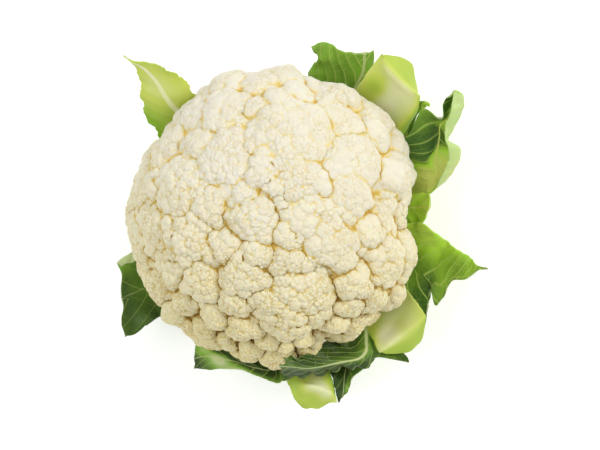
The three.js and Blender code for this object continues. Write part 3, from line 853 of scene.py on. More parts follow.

# The leaves that show from above.
# base: the bearing and the height on the stalk where the leaf starts, and how deep its green is there.
# rows: they run outward, and each holds points from one margin to the other: across, up, height, and how
#   deep the green is. Across and up are measured as for the florets. A green below 0 is whitish. Besides the
#   leaf's own greens, the green holds painted shade where part of a leaf lies in shadow, and painted light,
#   whitish, on its lit facets.
# rib: the point of each row, from 0, that the midrib runs through. rib_size: how broad it shows above.
# veins: the side veins' spacing, how much they slant and how strong they are.
# ruffle: height and length of the waves along the margin. teeth: depth and length of its teeth.
# slot: the finish.
LEAVES = {
    "leaf_top_left": {
        "base": (133, 28, 0.2),
        "rows": [
            [(-60, 36, 38, 0.78), (-47, 51, 37, 0.28), (-33, 60, 40, 0.18)],
            [(-65, 44, 44, 1.17), (-51, 57, 45, 0.08), (-38, 68, 48, 0.18)],
            [(-72.3, 55, 51, 1.1), (-56.5, 62, 53, 0), (-43.5, 70.5, 56, 0.18)],
            [(-75.6, 65, 57, 0.39), (-61.5, 68.5, 60, -0.1), (-50, 77, 63, 0.13)],
            [(-75.6, 73.5, 62, 0.1), (-65.5, 75.5, 65, -0.23), (-57, 82.4, 69, 0.1)],
            [(-77.3, 80, 67, 0.1), (-70.5, 81.5, 69, -0.08), (-64, 85.7, 73, 0.1)],
            [(-79, 84.5, 70, 0.15), (-75, 85.2, 71, 0.05), (-70.5, 87, 74, 0.2)],
            [(-80.5, 86.8, 73, 0.3), (-80.2, 87.3, 73.5, 0.2), (-79.6, 88, 74, 0.3)],
            [(-85.2, 90.4, 76, 0.6), (-85, 90.8, 76, 0.6), (-84.8, 91.2, 76, 0.6)],
        ],
        "rib": 1, "slot": "leaf_pale", "veins": (9, 1.0, 0.3),
        "ruffle": (0.5, 24), "teeth": (1.3, 3.6), "rib_size": 0.9,
    },
    "leaf_top": {
        "base": (66, 7, 0.3),
        "rows": [
            [(16, 68, 26, 0.02), (25, 64, 22, 0.02), (34, 61, 19, 0.02),
             (41, 60, 19, 0.22), (47, 58, 20, 0.02)],
            [(18, 80, 40, 0.02), (27, 76, 38, 0.1), (36, 74, 36, 0.25),
             (45, 73, 35, 0.32), (51, 72, 35, 0.15)],
            [(21.5, 86, 47, 0.02), (29.5, 84, 46, 0.05), (38, 82, 44, 0.25),
             (49, 81, 43, 0.22), (53, 79, 42, 0.25)],
            [(24, 90.5, 52, 0.05), (31, 90, 52, 0.05), (39, 88, 50, 0.2),
             (50, 86.5, 49, 0.22), (55.5, 86, 48, 0.25)],
            [(21, 93.5, 55, 0.45), (30, 95.5, 56, 0.05), (38, 91.5, 54, 0.15),
             (50.2, 90, 52, 0.22), (55.8, 91, 52, 0.15)],
            [(19, 96.5, 56, 0.15), (29, 98.6, 57, 0.05), (37, 93.8, 56, 0.1),
             (50.3, 92, 54, 0.22), (55.3, 95, 54, 0.05)],
        ],
        "rib": 3, "slot": "leaf_dark", "veins": (13, 2.1, 1.0),
        "ruffle": (1.1, 22), "teeth": (0.6, 9), "rib_size": 0.7,
    },
    "leaf_top_right": {
        "base": (48, 22, 0.1),
        "rows": [
            [(40, 62, 40, 0.1), (46, 58, 38, 0.1), (52, 54, 38, 0.1),
             (58, 49, 38, 0.1), (62, 43, 40, 0.1), (64, 41, 38, 0.5)],
            [(45, 73, 49, -0.2), (52, 67, 47, -0.05), (59, 62, 46, -0.75),
             (65, 56, 46, -0.5), (68, 50, 48, -0.1), (71.5, 46.5, 45, 0.9)],
            [(50, 79.5, 55, -0.2), (57, 73, 52, 0.4), (64, 68, 51, -0.8),
             (70, 62, 51, -0.6), (73.5, 55.5, 54, -0.1), (76.3, 53.3, 50, 0.9)],
            [(55, 86, 60, -0.2), (61, 79.5, 57, -0.05), (67, 74, 56, -0.85),
             (73, 68, 56, -0.85), (77.5, 62, 59, -0.2), (79.8, 60, 56, 0.9)],
            [(59.3, 91.6, 64, 0), (61.8, 85, 62, -0.35), (68, 78, 60.5, -0.75),
             (74, 72.5, 61, -0.75), (79.8, 68, 63, 0), (80.6, 66.6, 61, 0.6)],
            [(60, 91.8, 64.2, 0.35), (64, 86.6, 61.6, 0.3), (70, 80.5, 60, 0.3),
             (75.5, 74.5, 60, 0.3), (80, 68.6, 63, 0.35), (80.8, 67.6, 61.5, 0.5)],
            [(61, 91, 62, 0.45), (69.5, 90, 55, 0.4), (76, 86.5, 51, 0.43),
             (78, 79, 52, 0.43), (80.2, 69.4, 61, 0.45), (80.9, 68.6, 61, 0.5)],
        ],
        "rib": 2, "slot": "leaf_pale", "veins": (11, 0.8, 0.0),
        "ruffle": (0.3, 30), "teeth": (0.4, 9), "rib_size": 0,
    },
    "leaf_right_swept": {
        "base": (14, 15, 0.1),
        "rows": [
            [(58, 24, 37, -0.6), (62, 20, 32, -0.9), (66, 15, 29, -1), (70, 10, 31, -1), (73, 7, 35, -0.6)],
            [(74, 29, 45, 0), (79, 23.5, 44, -0.9), (83, 18.5, 44, -1),
             (85, 14.5, 44, -1), (87, 13, 45, 0.1)],
            [(72.5, 33, 49, 1.15), (85, 28, 48, -0.9), (90, 23, 48, -1),
             (94.5, 20.5, 49.5, -1), (91.5, 21.5, 52, 0.1)],
            [(70, 38.5, 53, 1.1), (82, 33.5, 51, 1.7), (90, 33, 50, -0.5),
             (101, 28.5, 54, -1), (96, 29.5, 57, 0.1)],
            [(68.5, 42.5, 56, 0.95), (85.5, 39, 52, 1.7), (91.5, 40, 51, 0.45),
             (103.3, 38, 57, 0), (97, 38, 61, 0.05)],
            [(75, 47.8, 58, 0.9), (85.5, 47.5, 54, 0.95), (92.6, 46.5, 53, 1.7),
             (96.8, 43.2, 59, 0.2), (95.5, 43.5, 63, 0.2)],
            [(82.6, 60.5, 61, 0.6), (86.5, 54.8, 58, 0.95), (93, 52.3, 56, 0.6),
             (100, 50, 61, 0.2), (95, 51.5, 65, 0.2)],
            [(92.3, 55.5, 62, 1), (94.5, 56.5, 60, 1.05), (98, 57, 60, 0.6),
             (103.6, 58, 64, 0.2), (97.5, 58, 68, 0.2)],
            [(94, 64, 64, 1), (97, 65, 62, 1.05), (100, 65, 61, 0.6),
             (105.7, 64.5, 65, 0.2), (99.3, 65.5, 69, 0.2)],
            [(98.5, 67.5, 66, 0.9), (100, 70, 65, 0.5), (101.5, 71, 65, 0.3),
             (104.5, 69.5, 66, 0.2), (99.8, 71.7, 70, 0.2)],
        ],
        "rib": 2, "slot": "leaf_green", "veins": (7.5, -0.9, 0.45),
        "ruffle": (0.6, 20), "teeth": (0.7, 8), "rib_size": 0.35,
    },
    "leaf_right_inner": {
        "base": (4, 29, 0.2),
        "rows": [
            [(62, 13, 40, -0.2), (64, 6, 37, -0.25), (66, -7, 31, -0.1)],
            [(72, 13, 44.5, 0), (75, 6, 41.5, -0.2), (73, -8.5, 35.5, 0.15)],
            [(80, 14, 47, -0.1), (80.5, 6, 44, -0.1), (79, -8, 36, 0.05)],
            [(86.8, 14, 51, -0.25), (86.8, 6, 49, -0.25), (81.5, -6.5, 39, -0.2)],
        ],
        "rib": 1, "slot": "leaf_green", "veins": (8, 0.9, 0.6),
        "ruffle": (0.7, 13), "teeth": (0.7, 6), "rib_size": 0.4,
    },
    "leaf_right": {
        "base": (337, 7, 0.2),
        "rows": [
            [(60, 0, 31, -0.2), (60, -8, 27, -0.15), (61, -15, 23, 0.25),
             (61, -21, 23, 0.5), (58, -30, 25, 0.9)],
            [(75, -3, 42, -0.3), (76, -12, 37, -0.25), (76, -20, 32, 0.4),
             (75, -27, 31, 0.7), (68, -42, 32, 1.1)],
            [(83, -2.5, 45, -0.3), (84, -13, 39, -0.22), (83, -22, 35, 0.4),
             (82, -32, 33, 0.7), (74, -52, 31, 1.2)],
            [(90, -8, 43, -0.14), (91, -17, 38.5, -0.04), (90, -26, 35, 0.45),
             (87, -35.2, 33, 0.8), (84, -60, 29, 1.1)],
            [(94.5, -12, 42, -0.35), (94, -19, 39, 0.25), (93, -27, 36, 0.5),
             (90.5, -36.7, 34, 0.65), (86.3, -36.5, 34, 0.85)],
            [(98, -14.5, 43, -0.3), (97.5, -21, 40, 0.35), (96, -28, 37, 0.55),
             (94.5, -38.7, 35, 0.55), (90, -49.5, 33, 0.85)],
            [(105, -19, 44, 0.15), (104, -25, 42, 0.5), (102.5, -30, 40, 0.65),
             (100, -33.5, 38, 0.65), (98, -36, 37, 0.75)],
            [(110, -23, 45, 0.15), (109.5, -27, 44, 0.35), (108, -30, 43, 0.35),
             (107, -33, 42, 0.45), (106, -34.5, 42, 0.55)],
            [(113.5, -26.6, 46, 0.35), (113.7, -27.3, 46, 0.45), (113.8, -28, 46, 0.55),
             (113.6, -28.8, 46, 0.55), (113, -29.6, 46, 0.55)],
            [(119, -28, 47, 0.85), (119, -28.2, 47, 0.85), (119, -28.4, 47, 0.85),
             (119, -28.6, 47, 0.85), (119, -28.8, 47, 0.85)],
        ],
        "rib": 3, "slot": "leaf_green", "veins": (9, 0.5, 0.7),
        "ruffle": (0.9, 19), "teeth": (0.5, 7), "rib_size": 0.3,
    },
    "leaf_lower_right": {
        "base": (318, 15, 0.1),
        "rows": [
            [(66, -34, 35, 0.05), (62, -40, 33, 0.05), (57, -45, 32, 0.05),
             (52, -50, 33, 0.05), (46, -56, 35, 0.05)],
            [(74, -39.7, 43, -0.15), (69, -47, 42, -0.4), (63.5, -54, 41, -0.4),
             (57.5, -60, 42, -0.1), (51.5, -65, 43, 0.25)],
            [(78.5, -45.8, 49, -0.2), (73.5, -52.5, 47, -0.4), (68, -59, 46, -0.4),
             (61.5, -65.5, 47, -1.15), (54.5, -69, 48, 0.15)],
            [(84, -54, 54, 0), (78.5, -59.5, 53.5, -0.3), (73, -64, 53, -0.21),
             (66, -69, 53, -0.7), (58, -75, 52, -0.25)],
            [(84.4, -57, 52.5, 0.4), (81, -62, 50.5, 0.4), (76.5, -66.5, 50, 0.4),
             (69, -71.2, 50.5, 0.45), (59.5, -75.4, 51, 0.35)],
            [(83.5, -59.6, 50, 0.4), (82.3, -67, 45, 0.4), (79.5, -71, 44, 0.44),
             (74, -75.2, 45, 0.5), (60.5, -76, 50, 0.45)],
        ],
        "rib": 2, "slot": "leaf_pale", "veins": (11, 0.8, 0.0),
        "ruffle": (0.3, 28), "teeth": (0.4, 9), "rib_size": 0,
    },
    "leaf_bottom_dark": {
        "base": (296, 7, 0.3),
        "rows": [
            [(28, -58, 29, 0.85), (33, -57, 26, 0.85), (38, -56, 25, 0.85),
             (44, -54, 26, 0.85), (50, -51, 29, 0.85)],
            [(29, -74, 38, 0.95), (35, -74, 36, 0.95), (41, -73, 35, 0.95),
             (48, -71, 36, 0.95), (55, -68, 39, 0.75)],
            [(30, -84, 43, 1.05), (35, -85, 41, 1.05), (40, -84, 41, 1.1),
             (46, -81, 42, 0.95), (56, -79, 44, 0.45)],
            [(32, -92, 46, 1.05), (36, -92, 45, 0.95), (39, -91, 45, 1.15),
             (42, -89, 45, 0.75), (46, -87, 46, 0.75)],
            [(34, -98, 47, 1.05), (36.5, -98, 47, 1.05), (38.5, -97, 47, 0.85),
             (40.5, -96, 47, 0.25), (41.8, -95, 47, 0.65)],
            [(35.5, -104, 46, 1.05), (36.5, -102, 46, 1.05), (38, -100, 47, 1.05),
             (40, -98.5, 47, 0.75), (41, -97.5, 47, 0.65)],
        ],
        "rib": 2, "slot": "leaf_dark", "veins": (8, 1.2, 0.2),
        "ruffle": (0.8, 14), "teeth": (0.8, 6), "rib_size": 0.15,
    },
    "leaf_bottom_curled": {
        "base": (302, 29, 0.3),
        "rows": [
            [(34, -44, 36, 0.95), (38, -47, 33, 0.95), (43, -50, 32, 0.55),
             (48, -52, 33, 0.95), (53, -53, 36, 0.85)],
            [(38, -58, 43, 1.15), (44, -59, 40, 1.15), (50, -60, 39, 0.55),
             (57, -63, 40, 0.85), (64, -68, 42, 0.75)],
            [(36, -62.2, 50, 1.15), (44, -68, 47, 1.05), (51, -70, 47, 0.55),
             (60, -74, 45, 0.75), (76, -80.8, 44, 0.75)],
            [(33, -65.2, 54, 1.15), (41.5, -72, 51, 1.15), (50.7, -75, 51, 0.55),
             (55, -76.3, 48, 0.75), (58, -78.3, 47, 0.75)],
            [(30, -67.2, 58, 1.15), (38, -74, 55, 1.15), (46, -79.3, 54, 0.7),
             (49, -81.5, 51.5, 1.05), (50.5, -84, 49, 0.95)],
            [(21, -74, 69, 1.05), (27, -78, 66, 1.15), (34, -81.2, 63, 0.7),
             (36, -82.5, 59, 1.15), (37.5, -84.5, 55, 1.15)],
            [(13, -78, 76, 0.85), (16, -80.3, 73, 1.15), (20, -83.6, 69, 0.7),
             (22, -85.8, 63, 1.15), (24, -88.5, 58, 1.15)],
            [(6, -77.7, 79, 0.75), (8, -79.8, 76, 0.85), (9, -82.8, 72, 0.7),
             (11, -86, 66, 1.15), (13, -89.5, 60, 1.05)],
            [(1.7, -77.5, 80, 0.85), (2.2, -79.5, 77, 0.95), (2.5, -82.5, 73, 0.7),
             (3.5, -86, 67, 1.05), (4.5, -90.5, 61, 0.85)],
        ],
        "rib": 2, "slot": "leaf_dark", "veins": (9, 1.6, 0.4),
        "ruffle": (1.4, 9), "teeth": (0.7, 5), "rib_size": 0.4,
    },
    "leaf_bottom": {
        "base": (278, 15, 0.1),
        "rows": [
            [(2, -60, 28, 0.4), (8, -60, 26, 0.4), (14, -60, 25, 0.3),
             (20, -60, 26, 0.4), (26, -60, 28, 0.5)],
            [(3, -76, 38, 0.6), (9, -76, 36, 0.5), (16, -76, 35, 0.4),
             (23, -76, 36, 0.6), (30, -76, 38, 0.9)],
            [(5, -88, 46, 0.6), (11, -89, 46, 0.5), (17, -91, 47, 0),
             (25, -90, 46, -0.5), (32, -88, 45, 1)],
            [(8, -96, 48, 0.4), (13, -96.5, 48, 0.4), (20, -94.5, 51, -0.75),
             (28, -95, 50, -0.8), (33, -94, 47, 1)],
            [(11, -101.5, 46, 0.4), (16, -101, 46, 0.35), (22, -99.5, 47, 0.3),
             (30, -98.3, 51, -0.75), (34, -98.5, 48, 1)],
            [(15, -106.5, 43, 0.5), (20, -107, 43, 0.45), (25, -106.5, 43, 0.4),
             (31, -103.5, 46, 0.3), (35.3, -103.8, 49, -0.8)],
        ],
        "rib": 2, "slot": "leaf_pale", "veins": (10, 0.8, 0.1),
        "ruffle": (0.4, 22), "teeth": (0.6, 6), "rib_size": 0,
    },
    "leaf_bottom_left": {
        "base": (255, 22, 0.2),
        "rows": [
            [(-20, -52, 31, 0.5), (-15, -54, 29, 0.5), (-9, -56, 28, 0.4),
             (-3, -57, 29, 0.5), (4, -58, 32, 0.5)],
            [(-14, -70, 39, 1), (-9, -72, 37, 1), (-3, -74, 37, 0.9), (2, -77, 39, 0.9), (7, -80, 42, 0.8)],
            [(-10, -79, 45, 1.1), (-6, -82, 44, 1.2), (-2, -85, 44, 1),
             (1, -88.5, 45, 0.9), (3, -92.5, 46, 0.2)],
            [(-16, -78, 50, 1.15), (-13, -81, 50, 1.2), (-11, -84, 49, 1.1),
             (-10, -86.5, 49, 1), (-9, -89, 49, 0.1)],
            [(-26, -74, 54, 1.15), (-23.5, -77.5, 54, 1.2), (-22, -80.5, 53, 1.1),
             (-20.5, -83, 53, 0.2), (-19.5, -85.5, 52, -1.2)],
            [(-34, -71, 56, 1.1), (-32, -75, 56, 1.1), (-31, -78.5, 56, -1.2),
             (-30.5, -82, 53, -0.75), (-30, -84.7, 50, 0)],
            [(-40, -70, 56, 0.25), (-39, -74, 56, -0.3), (-38, -77, 55, 0.1),
             (-37.5, -81.5, 51, 0.5), (-37, -84.8, 48, 0.6)],
            [(-44.5, -71, 54, 0.3), (-44.7, -75, 53, 0.72), (-45, -78.5, 51, 1.17),
             (-45.3, -82, 49, 1.22), (-45.6, -85, 47, 0.92)],
        ],
        "rib": 2, "slot": "leaf_dark", "veins": (9, 1.2, 0.4),
        "ruffle": (0.4, 18), "teeth": (0.4, 6), "rib_size": 0.2,
    },
    "leaf_left": {
        "base": (206, 7, 0.3),
        "rows": [
            [(-50, -14, 24, 0.3), (-50, -12, 20, 0.3), (-49, -19, 17, 0.25),
             (-48, -27, 16, 0.25), (-46, -34, 17, 0.25), (-44, -41, 20, 0.45)],
            [(-66, -18, 34, 0.4), (-66, -14, 30, 0.4), (-65, -24, 27, 0.35),
             (-63, -34, 25, 0.35), (-59, -43, 26, 0.55), (-55, -50, 29, 0.65)],
            [(-75, -22, 42, 0.2), (-75, -16.5, 38, 0.2), (-75, -28, 34, 0.55),
             (-73, -39, 32, 0.6), (-69, -49, 31, 0.85), (-65, -57, 33, 0.95)],
            [(-79, -24.5, 46, -0.45), (-79.5, -18.3, 42, -0.5), (-80, -30, 38, 0.55),
             (-79, -42, 36, 0.75), (-76, -53, 35, 0.85), (-72, -60.5, 36, 0.85)],
            [(-83, -27, 48, -0.5), (-84, -22.5, 44, -0.6), (-84, -32, 41, 0.65),
             (-84, -44, 38, 0.9), (-82, -56, 37, 0.95), (-79, -65.5, 37, 0.9)],
            [(-86, -29.6, 49, -0.4), (-87.8, -26, 46, -0.5), (-86.5, -34, 42, 0.6),
             (-86, -46, 39, 0.85), (-86, -57, 38, 0.9), (-85.5, -66, 38, 0.85)],
        ],
        "rib": 3, "slot": "leaf_dark", "veins": (13, 1.1, 0.3),
        "ruffle": (1.0, 17), "teeth": (1.0, 11), "rib_size": 0.1,
    },
}

# The short leaves that the curd hides from above.
# rows: they run from the stalk to the end, and each holds the reach from the head's axis, the height, the
#   bearing, the widths on the left and right, and half of each side's turn towards the curd in degrees.
# ends: how far the leaf is grown at five places across it, where it isn't fully grown all over.
# tone: how deep the green is at the foot and farther out.
SHORT_LEAVES = {
    "leaf_back_left": {
        "rows": [
            (20, 15, 182, 9, 9, 8, 8), (45, 15.5, 182, 15, 15, 12, 12), (63, 23, 181, 18, 18, 18, 18),
            (75, 36, 180, 18, 18, 24, 24), (79, 48, 180, 14, 14, 20, 20),
        ],
        "tone": (0.25, 0.5), "veins": (9, 0.8, 0.6), "ruffle": (1.6, 20), "teeth": (1.0, 8),
    },
    "leaf_back": {
        "rows": [
            (20, 7, 158, 9, 9, 6, 6), (47, 7.5, 157, 16, 16, 10, 10), (67, 16, 156, 19, 19, 16, 16),
            (79, 30, 155, 20, 20, 20, 20), (84, 43, 155, 17, 17, 16, 16),
        ],
        "ends": (0.94, 1, 1, 0.97, 0.9),
        "tone": (0.35, 0.7), "veins": (9, 0.8, 0.7), "ruffle": (1.8, 22), "teeth": (1.0, 8),
    },
    "leaf_far": {
        "rows": [
            (20, 15, 100, 9, 9, 8, 8), (45, 15.5, 100, 15, 15, 12, 12), (63, 23, 100, 18, 18, 18, 18),
            (75, 36, 100, 18, 18, 24, 24), (79, 48, 100, 13, 13, 20, 20),
        ],
        "ends": (0.9, 0.97, 1, 1, 0.95),
        "tone": (0.3, 0.6), "veins": (9, 0.8, 0.7), "ruffle": (1.6, 20), "teeth": (1.0, 8),
    },
    "leaf_left_inner": {
        "rows": [
            (20, 29, 228, 8, 8, 8, 8), (44, 30, 228, 11, 11, 10, 10), (62, 35, 228, 12, 12, 14, 14),
            (75, 44, 228, 11, 11, 16, 16), (82, 51, 228, 7, 7, 16, 16),
        ],
        "tone": (0.3, 0.6), "veins": (7, 0.8, 0.6), "ruffle": (1.2, 16), "teeth": (0.8, 6),
    },
}
LOBES = {  # small lobes that grow from the stem of a shown leaf
    "leaf_lobe_right": {
        "node": "leaf_right_swept",
        "rows": [
            [(68, 42, 34, 0.9), (72, 41, 33, 0.9), (76, 41, 35, 0.9)],
            [(71.5, 48, 40, 0.3), (74.3, 48, 39, 1.1), (77, 47.5, 41, 1)],
            [(74.3, 54, 46, 0.0), (76.2, 53.5, 44, 0.8), (78, 53, 46, 0.9)],
            [(77.2, 59.5, 51, 0.0), (78.6, 58.6, 50, 0.7), (79.8, 58, 51, 0.8)],
            [(79.6, 63.8, 55, 0.2), (81.2, 62, 54, 0.65), (82.8, 60, 56, 0.3)],
            [(81, 65.4, 57, 0.4), (83.2, 63.8, 57.5, 0.5), (84.3, 61.8, 58, 0.5)],
            [(84.5, 65, 58, 0.3), (85.2, 64.2, 59, 0.3), (85, 62.8, 59, 0.4)],
            [(86.4, 63.7, 57, 0.2), (86.4, 63, 58, 0.2), (86, 62.3, 58, 0.3)],
        ],
        "rib": 1, "slot": "leaf_green", "veins": (6, 0.6, 0.6),
        "ruffle": (0.2, 10), "teeth": (0.3, 5),
        "rib_size": 0.2, "stem": 0.15,
    },
}
LEAF_FOOT = (19, 46)  # reach of the two rows that join a leaf to the stalk
FOOT_WIDTH = (9, 14)  # and their half-widths
FOOT_HOLLOW = 1.5  # how much higher their ends are than their middle
BLADE_OPENS = (25, 20)  # how far along a leaf its blade starts, and over what length it opens
VEINS_OPEN = (15, 16)  # the same for its side veins
TONE_TURNS = (40, 50)  # and for a short leaf's change of green
NARROW = 6  # a half-blade narrower than this has smaller teeth and ruffles
FRAYED = 6  # length of the frayed end of a leaf
FRAYED_NARROW = 8  # half-width under which the end frays less
BLADE_PILLOWS = (0.35, 5)  # how far the blade bulges between side veins, and how far from the midrib
BRANCH_VEINS = 0.62  # spacing of the veins between the side veins, over theirs
TONE_DRIFT = (0.1, 26)  # how much the green varies along and across a leaf, and over what length
VEIN_BEND = 0.012  # how far a side vein bends forward, for each square mm of its distance from the midrib
VEIN_WANDER = (30, 2, 3)  # length of the veins' bends, and size in the side veins and in those between
BRANCH_SLANT = 0.9  # of the veins between, back along the leaf for each mm across it
RUFFLE_TURN = 2.4  # radians between the waves of both margins
RUFFLE_CHANCE = 0.6  # size and length of the uneven part of those waves, over theirs
TEETH_STAY = 5  # how near the margin the teeth stay, as a power of the share of the way to it
RUFFLE_STAYS = 2.2
TOOTH_DRIFT = (5, 0.5)  # over how many teeth their spacing drifts, and by how many
TOOTH_DEPTH = (3, 0.6, 0.4)  # over how many teeth their depth varies, its mean and how much it varies
LARGE_TEETH = (4, 1.5)  # about how many teeth apart, and how deep
LEAF_SEED = 100  # of the first leaf; each use of chance on a leaf adds its own number to the leaf's seed
LEAF_SEED_STEP = 60  # from one leaf to the next


def spline(rows, t):
    """Rows of values along a smooth curve through them all, at each t from 0 to 1."""
    rows = np.asarray(rows, dtype=float)
    place = np.clip(t, 0, 1) * (len(rows) - 1)
    i = np.minimum(place.astype(int), len(rows) - 2)
    f = (place - i)[..., None]
    a, b, c, d = (rows[np.clip(i + k, 0, len(rows) - 1)] for k in (-1, 0, 1, 2))
    return b + 0.5 * f * (c - a + f * (2 * a - 5 * b + 4 * c - d + f * (3 * (b - c) + d - a)))


def ramp(values, start, run):
    """Rises from 0 to 1 over a run from the start."""
    return np.clip((values - start) / run, 0, 1)


def outward_and_side(bearing):
    """Level directions away from the head's axis and round it, at a bearing in radians."""
    return np.array([[math.cos(bearing), math.sin(bearing), 0], [-math.sin(bearing), math.cos(bearing), 0]])


def midrib(rows, t):
    """Place, sideways direction and inward direction of a leaf's midrib, and how far along it each t is."""
    steps = np.linspace(0, 1, 201)
    reach, height, bearing = spline(rows, steps)[:, :3].T
    bearing = np.radians(bearing)
    places = np.stack([reach * np.cos(bearing), reach * np.sin(bearing), height], 1)
    tangents = np.gradient(places, axis=0)
    lengths = np.linalg.norm(tangents, axis=1)
    tangents /= lengths[:, None]
    side = outward_and_side(bearing[0])[1]
    sides = []
    for tangent in tangents:
        side = side - side @ tangent * tangent
        side /= np.linalg.norm(side)
        sides.append(side)
    sides = np.array(sides)
    along = np.concatenate([[0], np.cumsum((lengths[1:] + lengths[:-1]) / 2)])
    table = np.concatenate([places, sides, np.cross(tangents, sides), along[:, None]], 1)
    found = np.stack([np.interp(t, steps, column) for column in table.T], -1)
    return found[..., 0:3], found[..., 3:6], found[..., 6:9], found[..., 9]


def unit_grid(vectors):
    """Each vector of a grid, scaled to a length of 1."""
    return vectors / np.maximum(np.linalg.norm(vectors, axis=2, keepdims=True), 1e-9)


def sheet_normals(places):
    return unit_grid(np.cross(np.gradient(places, axis=0), np.gradient(places, axis=1)))


def margin_teeth(along, depth, length, seed):
    """How far the margin is cut back at each distance along the leaf: uneven teeth that point forward."""
    teeth, drift = TOOTH_DRIFT
    wander = along + waves(along[:, None], length * teeth, seed) * length * drift
    tooth = (wander / length) % 1
    teeth, mean, varies = TOOTH_DEPTH
    uneven = mean + varies * waves(along[:, None], length * teeth, seed + 1)
    teeth, deeper = LARGE_TEETH
    large = np.clip(waves(along[:, None], length * teeth, seed + 2), 0, 1)
    return depth * (uneven * (1 - tooth) + deeper * large)


def seen_at(across, up, height):
    """The place that lies across and up from the curd's middle as the camera sees it, at a height."""
    right, upward, towards = view_axes()
    middle = np.array([0, 0, CURD_CENTRE])
    eye = middle + right * AIM[0] + upward * AIM[1] + towards * FRAME_WIDTH / MM * LENS / SENSOR
    flat = middle + right * across + upward * up
    return eye + (flat - eye) * (height - eye[2]) / (flat[2] - eye[2])


def guided_surface(leaf):
    """A shown leaf's middle surface on a grid, its green, and where its midrib runs across it."""
    rows = np.array([[(*seen_at(*point[:3]), point[3]) for point in row] for row in leaf["rows"]])
    guides = rows.shape[1]
    if "base" in leaf:
        rows = np.concatenate([leaf_foot(leaf["base"], rows), rows])
    u = np.linspace(0, 1, LEAF_ROWS + 1)
    v = np.linspace(0, 1, LEAF_COLUMNS + 1)
    lengthwise = spline(rows.reshape(len(rows), -1), u).reshape(len(u), guides, 4)
    grid = spline(lengthwise.transpose(1, 0, 2).reshape(guides, -1), v).reshape(len(v), len(u), 4)
    grid = grid.transpose(1, 0, 2)
    rib_at = leaf["rib"] / (guides - 1)
    if sheet_normals(grid[..., :3])[..., 2].mean() < 0:
        grid, rib_at = grid[:, ::-1], 1 - rib_at
    return grid[..., :3], grid[..., 3], rib_at


def leaf_foot(base, rows):
    """The guide rows that join a shown leaf to the stalk."""
    bearing, level, green = base
    outward, side = outward_and_side(math.radians(bearing))
    if (rows[0, 0, :3] - rows[0, -1, :3]) @ side < 0:
        side = -side
    feet = []
    for reach, width in zip(LEAF_FOOT, FOOT_WIDTH):
        spread = np.linspace(width, -width, rows.shape[1])
        rise = level + (spread / width) ** 2 * FOOT_HOLLOW
        feet.append([(*(outward * reach + side * w + [0, 0, z]), green) for w, z in zip(spread, rise)])
    return feet


def short_surface(leaf):
    """A short leaf's middle surface on a grid, its green, and where its midrib runs across it."""
    u = np.linspace(0, 1, LEAF_ROWS + 1)[:, None]
    v = np.linspace(-1, 1, LEAF_COLUMNS + 1)[None, :]
    ends = spline([[end] for end in leaf.get("ends", (1, 1, 1, 1, 1))], (v + 1) / 2)[..., 0]
    t = u * ends
    place, side, inward, along = midrib(leaf["rows"], t)
    values = spline(leaf["rows"], t)
    left = v > 0
    width = np.where(left, values[..., 3], values[..., 4])
    bend = np.radians(np.where(left, values[..., 5], values[..., 6])) * 2
    turn = bend * np.abs(v)
    out = width * np.sin(turn) / bend
    up = width * (1 - np.cos(turn)) / bend
    places = place + side * (np.sign(v) * out)[..., None] + inward * up[..., None]
    start, end = leaf["tone"]
    return places, start + (end - start) * ramp(along, *TONE_TURNS), 0.5


def leaf_distances(places, rib_at):
    """How far each point of a leaf's grid is across it from the midrib, and how far along it each row is."""
    steps = np.linalg.norm(np.diff(places, axis=1), axis=2)
    across = np.concatenate([np.zeros((len(places), 1)), np.cumsum(steps, axis=1)], 1)
    v = np.linspace(0, 1, places.shape[1])
    rib = np.array([np.interp(rib_at, v, row) for row in across])
    middle = int(round(rib_at * LEAF_COLUMNS))
    steps = np.linalg.norm(np.diff(places[:, middle], axis=0), axis=1)
    return across - rib[:, None], np.concatenate([[0], np.cumsum(steps)])


def cut_margin(places, leaf, seed, down, left, open_blade, share):
    """Cuts the leaf's teeth into both sides of its open blade."""
    depth, length = leaf["teeth"]
    cuts = [margin_teeth(down, depth, length, seed + k)[:, None] for k in (0, 5)]
    cut = np.where(left, *cuts) * open_blade * share**TEETH_STAY
    inward = unit_grid(np.gradient(places, axis=1) * np.where(left, -1, 1)[..., None])
    return places + inward * cut[..., None]


def fray_end(places, leaf, seed, down, across, span):
    """Pulls the leaf's end back unevenly."""
    depth, length = leaf["teeth"]
    frayed = np.clip(waves(across.T, length * 1.5, seed + 50), -0.6, 1).reshape(1, -1)
    near_end = np.clip((down - down[-1] + FRAYED) / FRAYED, 0, 1)[:, None]
    pulled = near_end * (frayed + 0.6) * depth * np.clip(span / FRAYED_NARROW, 0, 1)
    return places + unit_grid(-np.gradient(places, axis=0)) * pulled[..., None]


